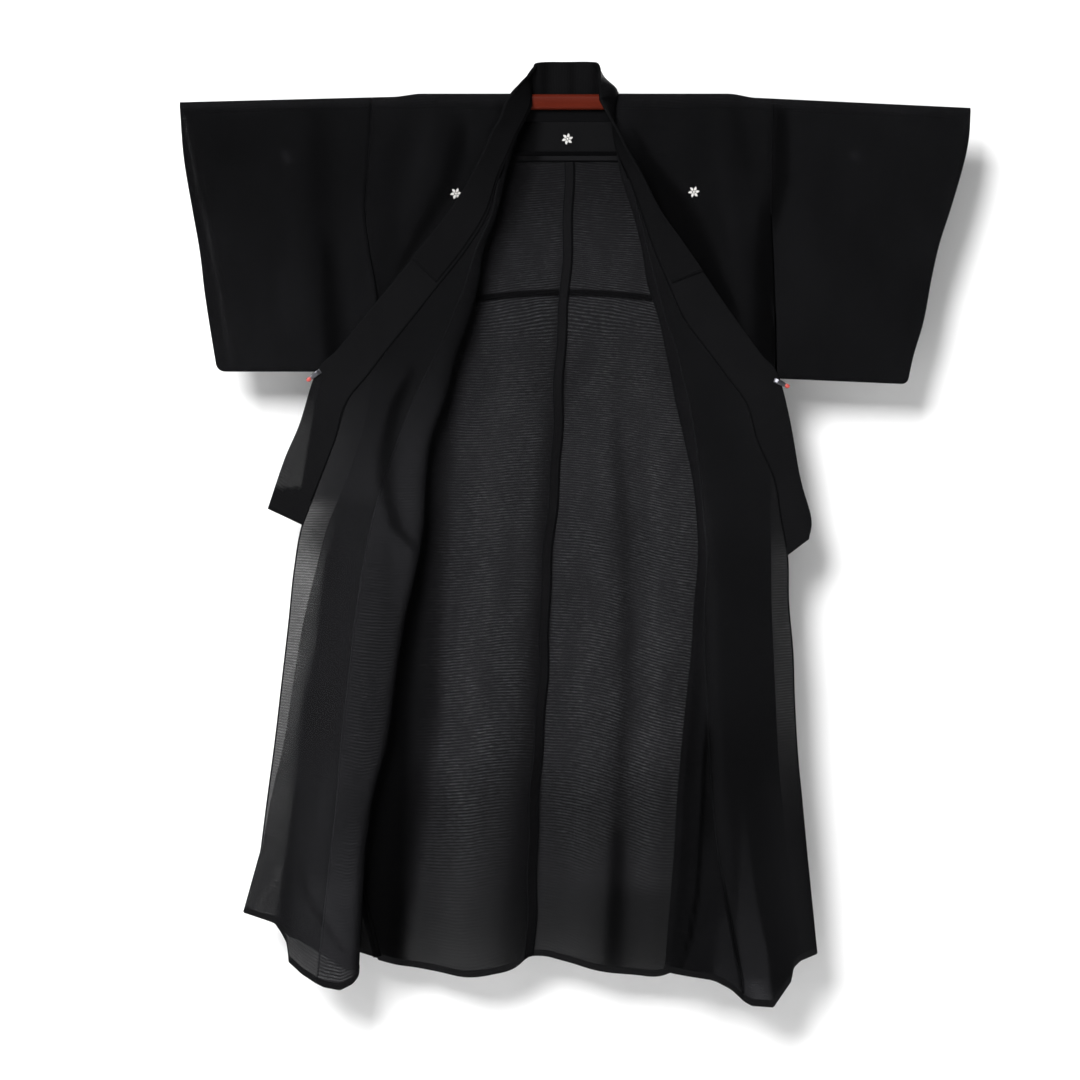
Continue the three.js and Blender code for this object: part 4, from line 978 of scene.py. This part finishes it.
def sleeve_wall(side, shares, across, face):
    """One wall of a sleeve: points, tones and openness. A share is 0 at the bar and 1 at the foot; across is
    0 beside the body and 1 at the cuff; face is -1 for the front wall and 1 for the back."""
    spec = SLEEVE[side]
    s = np.asarray(shares, float)[:, None]
    u = np.asarray(across, float)[None, :]
    outer = reading(spec["rows"], "share", "outer", s)
    inner = reading(spec["rows"], "share", "inner", s) + SIGN[side] * PARTED
    x = mix(inner, outer, u)
    end = spec["corner"] / np.abs(outer - inner)
    past = np.clip((u - (1 - end)) / end, 0, 1) * 0.98
    rounding = spec["corner"] * (1 - np.sqrt(1 - past ** 2))
    z = mix(ridge(x) - LAYER, mix(*spec["bottom"], u) + rounding, s)
    closed = smooth(0.78, 1, s)
    sewn = smooth(CUFF_END, CUFF_END + 0.12, s) * smooth(0.82, 1, u)
    belly = 3 * np.sin(np.pi * s) * np.sin(np.pi * u)
    half = REST + 0.4 + (LAYER - REST - 0.4 + belly) * (1 - closed) * (1 - sewn)
    trough = spec["trough"]
    at = mix(trough["top"], trough["foot"], s)
    dip = trough["depth"] * bell(x - at, trough["width"]) * smooth(0.05, 0.5, s) * (1 - smooth(0.78, 1, s))
    rise, tone = pressed(SLEEVE_CREASES[side], x, z)
    front_face = face < 0
    depth = face * half + (dip - rise * smooth(0.05, 0.3, s) if front_face else 0)
    thin = SHEER[side]["open"] * bell(x - across_at(SHEER[side], z), 4)
    thin = thin * smooth(-4, -40, z) * smooth(spec["bottom"][1], -440, z)
    # Painted shade and light: the creases' tones on the front wall only, and painted light along the sheer
    # line.
    tone = tone * front_face + spec["lift"] * smooth(0.1, 1, s) - spec["dim"] + 1.2 * thin
    return sheet_points(x, depth, z), tone, 0.6 + 2.2 * thin


def sleeve(side):
    """Front wall from the foot up, over the arm, and the back wall down."""
    across = np.concatenate([np.linspace(0, 0.95, 46), np.linspace(0.95, 1, 9)[1:]])
    shares = np.concatenate([np.linspace(1, 0.78, 14), np.linspace(0.78, 0.02, 46)[1:]])
    top = sleeve_wall(side, [0], across, -1)[0][0, :, 0] / MM
    return over_and_down(sleeve_wall(side, shares, across, -1), over_bar(top),
                         sleeve_wall(side, shares[::-1], across, 1), CLEAR["over_arm"])


# Below the armhole the sleeve and the body are both open. Their edges are turned in and lie on each other.
OPEN_EDGE = {
    "left": table("z x", [(-8, -355.5), (-88, -360), (-184, -366.5), (-242, -361), (-294, -353.5),
                          (-346, -346.5), (-400, -345)]),
    "right": table("z x", [(-8, 346), (-88, 344.5), (-190, 343), (-250, 346), (-320, 349), (-400, 351),
                           (-478, 352)]),
}
for side, line in OPEN_EDGE.items():
    grid, tone, clear = sleeve(side)
    tube_piece = cloth_piece(f"gauze_sleeve_{side}", f"sleeve_{side}", grid, CLOTH, GAUZE_SILK, tone, clear)
    z = rising(-16, line["z"][0], 6)
    edge = np.stack([across_at(line, z), -2.5 * smooth(-360, -200, z), z], axis=1)
    turned_in = ribbon(f"armhole_edge_{side}", edge * MM, 15, 0, THREAD_SILK, -0.4)
    z = rising(-4, -198, 6)
    seam = np.stack([across_at(line, z), -LAYER + 0 * z, z], axis=1)
    armhole = ribbon(f"armhole_seam_{side}", seam * MM, 1.8, 0.7, THREAD_SILK, 0.3)

# ============================================================ the collar
# One long strip of the same silk, folded double on the fronts and stiffened by a core, carried round the
# back of the neck, with a shorter over-collar wrapped on it.
COLLAR_CLOTH = 2.0
NECK = table("station seam_x seam_y seam_z mid_x mid_y mid_z edge_x edge_y edge_z", [
    (0, -77, -11, 7, -91, -30, 13, -112, -48, 7),
    (1, -77, -8, 15, -88, -27, 25, -104, -46, 17),
    (2, -77, 0, 18.5, -85, -18, 35, -95, -38, 26),
    (3, -77, 8.5, 15.5, -79, -2, 41, -85, -22, 38),
    (4, -75, 11, 4, -77, 8, 40, -78, -8, 50),
    (5, -67, 11, -12, -73, 11.5, 28, -71, 2, 60),
    (6, -44, 11, -26, -57, 13, 22, -62, 10, 69),
    (7, -11, 11, -31, -12, 13, 20, -12, 15, 70),
    (8, 24, 11, -28, 27, 13, 22, 28, 11, 70),
    (9, 50, 11, -12, 43, 11.5, 28, 39, 1, 66),
    (10, 67, 11, 4, 49, 8, 42, 43, -10, 55),
    (11, 73, 8.5, 15.5, 51, -2, 41, 43, -26, 44),
    (12, 74, 0, 18.5, 56, -18, 33, 43, -42, 30),
    (13, 73, -8, 15, 62, -28, 24, 43, -48, 14),
    (14, 72, -11, 7, 62, -31, 10, 44, -51, 3),
])
# The free edge on each front, from the neck down.
COLLAR_EDGE = {
    "left": [(-121, -50, -7), (-130, -50, -33), (-144, -48, -56), (-156, -46, -84), (-177, -40, -124),
             (-201, -32, -166), (-236, -25, -214), (-285, -21, -275), (-338, -19, -340), (-378, -16, -388),
             (-416, -11, -434), (-452, -4, -472), (-481, -6, -562), (-508, -9, -626), (-537, -11, -712)],
    "right": [(46, -51, -4), (61, -58, -32), (77, -60, -61), (91, -56, -88), (117, -46, -131),
              (149, -36, -191), (186, -29, -243), (224, -24, -298), (262, -21, -354), (298, -17, -404),
              (327, -12, -443), (355, -4, -476), (376, -6, -556), (394, -9, -658), (413, -11, -728),
              (409, -12, -765)],
}
SEAM_GAP = 1.0


def collar_stations():
    """Seam, middle and free edge of the collar at every station, left tip to right tip."""

    def on_front(side):
        edge = np.array(COLLAR_EDGE[side], float)
        z = FRONT[side]["z"][::-1][:len(edge)]
        row = front_row(side, z)
        last = np.diagonal(front(side, z, np.full(len(z), 4.0))[0] / MM, axis1=0, axis2=1).T
        turned = np.radians(row["turn"])
        sign = SIGN[side]
        high = z > OKUMI_TOP
        x = np.where(high, last[:, 0] - sign * SEAM_GAP * np.cos(turned), row["edge"] + sign * SEAM_GAP)
        y = np.where(high, last[:, 1] - SEAM_GAP * np.sin(turned), lapel_depth(row, row["edge"]))
        seam = np.stack([x, y, z], axis=1)
        return {"seam": seam, "mid": (seam + edge) / 2, "edge": edge}

    left, right = on_front("left"), on_front("right")
    lines = {}
    for name in ("seam", "mid", "edge"):
        neck = np.stack([NECK[f"{name}_{axis}"] for axis in "xyz"], axis=1)
        lines[name] = np.concatenate([left[name][::-1], neck, right[name]])
    return lines


STATIONS = collar_stations()
COLLAR_COUNT = len(STATIONS["seam"])
LEFT_COUNT = len(COLLAR_EDGE["left"])


def collar(stations, shares):
    """The collar's middle surface: smooth curves along its three lines, and across each station the
    quadratic through seam (0), middle (0.5) and free edge (1)."""
    t = np.asarray(shares, float)[None, :, None]
    lines = {}
    for name, points in STATIONS.items():
        columns = {"station": np.arange(COLLAR_COUNT, dtype=float), **dict(zip("xyz", points.T))}
        curve = np.stack([reading(columns, "station", axis, stations) for axis in "xyz"], axis=1)
        lines[name] = curve[:, None, :]
    return ((1 - t) * (1 - 2 * t) * lines["seam"] + 4 * t * (1 - t) * lines["mid"]
            + t * (2 * t - 1) * lines["edge"]) * MM


# The left tip is only half filled by its core, so that past this line two open plies of gauze show.
TIP_LINE = table("z x", [(-480, -441), (-522, -450), (-609, -464), (-679, -476)])
TIP_END = -676.0               # the turned-in allowance closes the tip from here down


def neck_shade(x, z):
    """Tones of the collar at the back of the neck: darker down its middle, and painted shade where it folds
    forward.
    """
    return smooth(8, 20, z) * (-0.6 * bell(x + 6, 6) - 0.9 * bell(x + 54, 9) - 0.6 * bell(x - 36, 8))


COLLAR_SILK = silk("collar_silk", (0.0036, 0.0039), (0.0052, 0.0056), 0.14, 0.44)
COLLAR_STEP = 0.1              # of a station
grid = collar(rising(0, COLLAR_COUNT - 1, COLLAR_STEP), np.linspace(-0.04, 1, 27))
x, z = grid[..., 0] / MM, grid[..., 2] / MM
open_tip = smooth(0, -5, x - across_at(TIP_LINE, z)) * smooth(-470, -486, z) * smooth(4, -4, TIP_END - z)
clear = mix(0.52, 0.66, smooth(-500, -600, z)) * open_tip
band = cloth_piece("silk_collar", "collar", grid, COLLAR_CLOTH, COLLAR_SILK,
                   0.35 * smooth(-200, -500, z) + neck_shade(x, z), clear, slant=14.0)

OVER_COLLAR = {"start": LEFT_COUNT - 8, "end": LEFT_COUNT + len(NECK["station"]) + 7, "ply": 1.5}
grid = collar(rising(OVER_COLLAR["start"], OVER_COLLAR["end"], COLLAR_STEP), np.linspace(0.07, 1.015, 21))
wrap = cloth_piece("silk_over_collar", "over_collar", grid, COLLAR_CLOTH + 2 * OVER_COLLAR["ply"],
                   COLLAR_SILK, neck_shade(grid[..., 0] / MM, grid[..., 2] / MM), 0.0)

# ============================================================ the shoulder lining
# A single ply inside the back below the neck, with its lower edge turned up and stitched twice.
LINING = {"left": -165.0, "right": 160.0, "top": -34.0, "end": -103.0, "hem": 13.0, "lift": 1.2}
NECK_FACING = {"left": -86.0, "right": 82.0, "top": -12.0, "end": -34.5}      # the collar's allowance, dark and closed, which also stands as painted shade under the bar


def on_back(x, z, lift):
    """Points lying on the inside of the back, lifted towards the front."""
    points = back(x, z)[0]
    points[..., 1] -= lift * MM
    return points


LINING_SILK = silk("lining_silk", (0.0048, 0.0052), (0.0062, 0.0066), 0.05, 0.10)
hem_top = LINING["end"] + LINING["hem"]
x = np.linspace(LINING["left"], LINING["right"], 61)[None, :]
grid = on_back(x, rising(LINING["top"], LINING["end"], 3)[:, None], LINING["lift"])
fallen = (grid[..., 2] / MM - LINING["top"]) / (LINING["end"] - LINING["top"])
# Painted shade over the left part of the lining, past a line across that moves outwards lower down; its
# turned-up hem carries the same painted shade.
shade_edge = mix(-60, -74, fallen)
shade = -1.4 * smooth(shade_edge + 12, shade_edge - 12, x)
lining = cloth_piece("shoulder_lining_ply", "shoulder_lining", grid, CLOTH, LINING_SILK, shade)
grid = on_back(x, rising(hem_top, LINING["end"], 2)[:, None], LINING["lift"] + 0.8)
turned_up = cloth_piece("shoulder_lining_hem", None, grid, CLOTH, LINING_SILK, 0.5 + shade[0])
for name, at, width in (("upper", hem_top, 7.5), ("lower", LINING["end"], 2.4)):
    path = on_back(x, np.array([[at]]), LINING["lift"] + 1.2)[0]
    ribbon(f"lining_stitching_{name}", path, width, 0.2, THREAD_SILK, -0.8)
facing_x = np.linspace(NECK_FACING["left"], NECK_FACING["right"], 41)[None, :]
facing_z = rising(NECK_FACING["top"], NECK_FACING["end"], 2.5)[:, None]
facing = on_back(facing_x, facing_z, 1.0)
# The collar's allowance: a real facing, and also painted shade under the bar.
cloth_piece("neck_facing", None, facing, RIBBON, THREAD_SILK, 0.2, 0.0)

# ============================================================ the centre-back seam
# The two body lengths are joined by a seam whose allowance is felled to one side, which doubles the cloth.
FELL = {"left": -8.5, "right": 6.5, "lift": 1.0}
z = rising(-101, HEM_FOOT, 6)[:, None]
middle = reading(CENTRE_BACK, "z", "x", z)
waver = 2.2 * np.sin(z / 61.0) + 1.4 * np.sin(z / 23.0 + 1.0)
x = middle + waver + np.linspace(FELL["left"], FELL["right"], 7)[None, :]
fell_tone = 0.1 - 0.35 * smooth(-480, -560, z) - 0.8 * smooth(-1000, -1180, z)
fell = cloth_piece("centre_back_fell", "back_seam", on_back(x, z, FELL["lift"]), CLOTH, LINING_SILK,
                   fell_tone, 0.7)
for name, at, tone, width in (("stitch", FELL["left"], 0.7, 1.6), ("edge", FELL["right"], -0.3, 3.2)):
    path = on_back(middle + waver + at, z, FELL["lift"] + 0.5)[:, 0]
    ribbon(f"centre_back_{name}", path, width, 0.2, THREAD_SILK, tone)

# ============================================================ the hems
# Every lower edge is turned up 10 mm to the inside and blind stitched; the free front edges are rolled.
HEM_SILK = silk("hem_silk", (0.0064, 0.0068), (0.0110, 0.0116), 0.02, 0.05)
HEM_DEPTH = 10.0
HEM_LIFT = 0.8                 # from the middle of the cloth to the middle of its turned-up edge
heights = np.linspace(HEM_FOOT + HEM_DEPTH, HEM_FOOT - 1.2, 5)
for side, sign in SIGN.items():
    turned = cloth_piece(f"front_hem_{side}", None, front(side, heights, np.linspace(2.2, 4, 25))[0], CLOTH,
                         HEM_SILK, -0.4, offset=sign * HEM_LIFT)
    panel_hem = cloth_piece(f"overlap_hem_{side}", None, overlap(side, heights, np.linspace(0, 1, 41))[0],
                            CLOTH, HEM_SILK, -0.2, offset=sign * HEM_LIFT)
    edge = overlap(side, rising(HEM_FOOT, FRONT[side]["z"][-15], 8), np.array([0.985, 1.0]))[0][:, 1]
    roll = ribbon(f"free_edge_{side}", edge, 2.6, 0.5, THREAD_SILK, 0.2)
    x = np.linspace(side_line(side, HEM_FOOT), CENTRE_BACK["x"][0], 61)[None, :]
    back_hem = cloth_piece(f"back_hem_{side}", None, on_back(x, heights[:, None], HEM_LIFT), CLOTH,
                           HEM_SILK, -0.2)

# ============================================================ the crests
# Small white crests, dyed and finished with drawn lines: below the back neck, on each chest and on the
# back of each sleeve. Each is a star of six narrow leaves round a bud.
CREST = {"reach": 10.3, "leaf": 4.6, "bend": 0.5, "inner": 2.2, "bud": 1.6, "ply": 0.12, "lift": 0.55}
LEAVES, ALONG, ASIDE, BUD_EDGE = 6, 13, 5, 12  # leaves, points along and across one, points round the bud


def crest_white():
    """Undyed silk, a warm white, with fine grey lines drawn along each leaf."""
    material, nodes, links, principled = node_material("crest_white", Roughness=0.8, Specular_IOR_Level=0.1)
    uv = nodes.new("ShaderNodeUVMap")
    uv.uv_map = "leaf"
    lines = add(nodes, "TexWave", Scale=1.0, Distortion=0.6)
    lines.bands_direction = "X"
    links.new(uv.outputs[0], lines.inputs["Vector"])
    two_tone(nodes, links, lines.outputs["Fac"], principled, (0.22, 0.22, 0.23), (0.62, 0.61, 0.58),
             (0.12, 0.42))
    return material


CREST_WHITE = crest_white()


def crest(name, x, y, z, faces, turn):
    """Six leaves at even turns round a bud. A leaf's half width goes as the sine of its length, drawn towards
    the bud, and it is bent a little to one side. faces is -1 for a crest seen from the front and 1 from
    the back."""
    t = np.linspace(0, 1, ALONG)[:, None]
    u = np.linspace(-1, 1, ASIDE)[None, :]
    radius = mix(CREST["inner"], CREST["reach"], t) + 0 * u
    aside = CREST["leaf"] / 2 * np.sin(np.pi * t ** 0.8) * u + CREST["bend"] * np.sin(np.pi * t)
    angle = np.radians(turn) + np.arange(LEAVES)[:, None, None] * 2 * np.pi / LEAVES
    px = x + (radius * np.sin(angle) + aside * np.cos(angle))
    pz = z + (radius * np.cos(angle) - aside * np.sin(angle))
    ring = np.linspace(0, 2 * np.pi, BUD_EDGE, endpoint=False)
    bud = CREST["bud"] * np.stack([np.cos(ring), 0 * ring, np.sin(ring)], axis=1) + [x, y, z]
    leaves = np.stack([px, np.full(px.shape, y), pz], axis=-1).reshape(-1, 3)
    flat = np.concatenate([leaves, bud])
    index = np.arange(len(leaves)).reshape(LEAVES, ALONG, ASIDE)
    quads = grid_faces(index)
    border = np.concatenate([index[:, 0, :-1], index[:, :-1, -1], index[:, -1, :0:-1], index[:, :0:-1, 0]],
                            axis=1)
    count = len(flat)
    ahead = np.roll(border, -1, axis=1)
    rim = np.stack([border, border + count, ahead + count, ahead], axis=2).reshape(-1, 4)
    disc = np.arange(len(leaves), count)
    disc_rim = np.stack([disc, disc + count, np.roll(disc, -1) + count, np.roll(disc, -1)], axis=1)
    front_quads = quads if faces < 0 else quads[:, ::-1]
    skin = [*front_quads[:, ::-1], *(front_quads + count), *rim, *disc_rim, disc[::-1], disc + count]
    points = np.concatenate([flat, flat + [0, faces * CREST["ply"], 0]]) * MM
    obj = piece(mesh_object(name, points, skin, CREST_WHITE, False), "silk")
    layer = obj.data.uv_layers.new(name="leaf")
    across = np.concatenate([np.broadcast_to(u * 1.1, index.shape).reshape(-1), np.full(BUD_EDGE, 0.5)])
    loops = np.zeros(len(obj.data.loops), np.int32)
    obj.data.loops.foreach_get("vertex_index", loops)
    uv = np.stack([np.tile(across, 2)[loops], np.zeros(len(loops))], axis=1)
    layer.data.foreach_set("uv", uv.astype(np.float32).reshape(-1))


def depth_at(x, line):
    """Depth at place x of a line of points across the cloth, in millimetres from metres."""
    line = line[np.argsort(line[:, 0])] / MM
    return float(np.interp(x, line[:, 0], line[:, 1]))


BACK_CREST = {"x": -13.0, "z": -64.0}
at = [np.array([[BACK_CREST[axis]]]) for axis in "xz"]
for name, covered, face in (("inside", LINING["lift"], -1), ("outside", 0, 1)):
    depth = float(on_back(*at, covered)[0, 0, 1]) / MM
    crest(f"crest_back_{name}", BACK_CREST["x"], depth + face * CREST["lift"], BACK_CREST["z"], face, 12)
for side, x, z in (("left", -208.0, -161.0), ("right", 208.0, -158.0)):
    line = front(side, [z], np.linspace(1, 2, 60))[0][0]
    crest(f"crest_chest_{side}", x, depth_at(x, line) - CREST["lift"], z, -1, 20)
for side, x, z in (("left", -506.0, -98.0), ("right", 490.0, -96.0)):
    share = (z - 8) / (SLEEVE[side]["bottom"][0] - 8)
    line = sleeve_wall(side, [share], np.linspace(0, 1, 50), 1)[0][0]
    crest(f"crest_sleeve_{side}", x, depth_at(x, line) + CREST["lift"], z, 1, 4)

# ============================================================ the clips
# Two small sprung clips of bent chrome steel hold the collar to the sleeves' lower corners. Their handles
# are dipped in red rubber, and a coil sits on the pin between the two plates.
CLIP = {"bite": 6.0, "handle": 15.0, "width": 9.0, "plate": 0.7, "front": -7.4, "back": 2.8,
        "tip": 8.5, "tip_wide": 3.6, "coil": 2.6, "coil_at": 4.0, "coil_half": 3.6, "wire": 0.7, "lip": 0.9}
FACE = {"front": -1.0, "back": 1.0}
CLIPS = {"left": {"x": -450.0, "z": -474.0, "lean": 217.0}, "right": {"x": 354.0, "z": -489.0, "lean": -25.0}}


def bright_metal():
    """Chromed spring steel, finely scratched, and a little dull where it is handled."""
    material, nodes, links, principled = node_material(
        "clip_chrome", Base_Color=(0.10, 0.10, 0.11, 1), Metallic=1.0)
    rub = add(nodes, "TexNoise", Scale=900.0, Detail=5.0)
    dull = add(nodes, "MapRange", To_Min=0.2, To_Max=0.42)
    links.new(add(nodes, "TexCoord").outputs["Object"], rub.inputs["Vector"])
    links.new(rub.outputs["Fac"], dull.inputs["Value"])
    links.new(dull.outputs[0], principled.inputs["Roughness"])
    return material


def red_rubber():
    """Dipped soft rubber, red, slightly uneven in colour."""
    material, nodes, links, principled = node_material("clip_rubber", Roughness=0.42)
    patch = add(nodes, "TexNoise", Scale=400.0)
    links.new(add(nodes, "TexCoord").outputs["Object"], patch.inputs["Vector"])
    two_tone(nodes, links, patch.outputs["Fac"], principled, (0.34, 0.032, 0.026), (0.46, 0.066, 0.052))
    return material


CHROME, RUBBER = bright_metal(), red_rubber()


def placed(points, spec):
    """Points of a clip, its handles along +X, turned in the XZ plane by its lean and moved to its place."""
    lean = np.radians(spec["lean"])
    x, y, z = np.moveaxis(np.asarray(points, float), -1, 0)
    across = spec["x"] + x * np.cos(lean) - z * np.sin(lean)
    height = spec["z"] + x * np.sin(lean) + z * np.cos(lean)
    return np.stack([across, y, height], axis=-1) * MM


def plate(name, face, spec):
    """One jaw and handle: a strip bent in profile, closed on the cloth at its jaw, arched over the coil and
    parted again at the handle, with a channel's turned edges."""
    sign = FACE[face]
    bend = table("x out", [(-6, 0.2), (-4.6, 0.0), (-2, 0.9), (2, 1.7), (6, 1.2), (10, 0.5), (15, 0.3)])
    x = np.linspace(-CLIP["bite"], CLIP["handle"], 29)
    narrow = CLIP["width"] / 2 * (1 - 0.22 * smooth(4, 14, x))
    across = np.linspace(-1, 1, 9)
    lip = CLIP["lip"] * np.clip((np.abs(across) - 0.72) / 0.28, 0, 1) ** 1.5 * -sign
    middle = CLIP[face] + sign * (CLIP["plate"] / 2 + reading(bend, "x", "out", x) - 0.2)
    rings = []
    for half in (1, -1):
        y = middle[:, None] + lip[None, :] + half * sign * CLIP["plate"] / 2
        rings.append(np.stack([x[:, None] + 0 * y, y, narrow[:, None] * across[None, :]], axis=2))
    skin = np.concatenate([rings[0], rings[1][:, ::-1]], axis=1)
    if sign > 0:
        skin = skin[:, ::-1]
    return tube(name, placed(skin, spec), CHROME)


def dipped_tip(name, face, spec):
    """A rounded dip of rubber over a handle's end: an oval section that grows and closes along a sine."""
    share = np.linspace(0.02, 0.98, 15)
    size_at = np.sin(np.pi * np.clip(share * 0.86 + 0.14, 0, 1)) ** 0.45
    angle = np.linspace(0, 2 * np.pi, 20, endpoint=False)
    x = CLIP["handle"] + 0.3 + share * CLIP["tip"]
    y = CLIP[face] + FACE[face] * 0.9
    rings = np.stack([np.broadcast_to(x[:, None], (15, 20)), y + 1.7 * size_at[:, None] * np.sin(angle),
                      CLIP["tip_wide"] * size_at[:, None] * np.cos(angle)], axis=2)
    return tube(name, placed(rings, spec), RUBBER)


def coil_spring(name, spec):
    """Five turns of wire round the pin, across the clip: a round section carried along a helix."""
    t = np.linspace(0, 5 * 2 * np.pi, 121)
    pin = (CLIP["front"] + CLIP["back"]) / 2
    centre = np.stack([CLIP["coil_at"] + CLIP["coil"] * np.cos(t), pin + CLIP["coil"] * np.sin(t),
                       np.linspace(-CLIP["coil_half"], CLIP["coil_half"], len(t))], axis=1)
    way = np.gradient(centre, axis=0)
    way /= np.linalg.norm(way, axis=1, keepdims=True)
    out = np.stack([np.cos(t), np.sin(t), 0 * t], axis=1)
    side_way = np.cross(way, out)
    angle = np.linspace(0, 2 * np.pi, 8, endpoint=False)[None, :, None]
    section = out[:, None] * np.cos(angle) + side_way[:, None] * np.sin(angle)
    return tube(name, placed(centre[:, None] + CLIP["wire"] / 2 * section, spec), CHROME)


for side, spec in CLIPS.items():
    for face in FACE:
        piece(plate(f"clip_{side}_jaw_{face}", face, spec), "clip_metal", f"clip_{side}_{face}")
        piece(dipped_tip(f"clip_{side}_dip_{face}", face, spec), "clip_tip", f"clip_{side}_tip_{face}")
    piece(coil_spring(f"clip_{side}_coil", spec), "clip_metal", f"clip_{side}_spring")
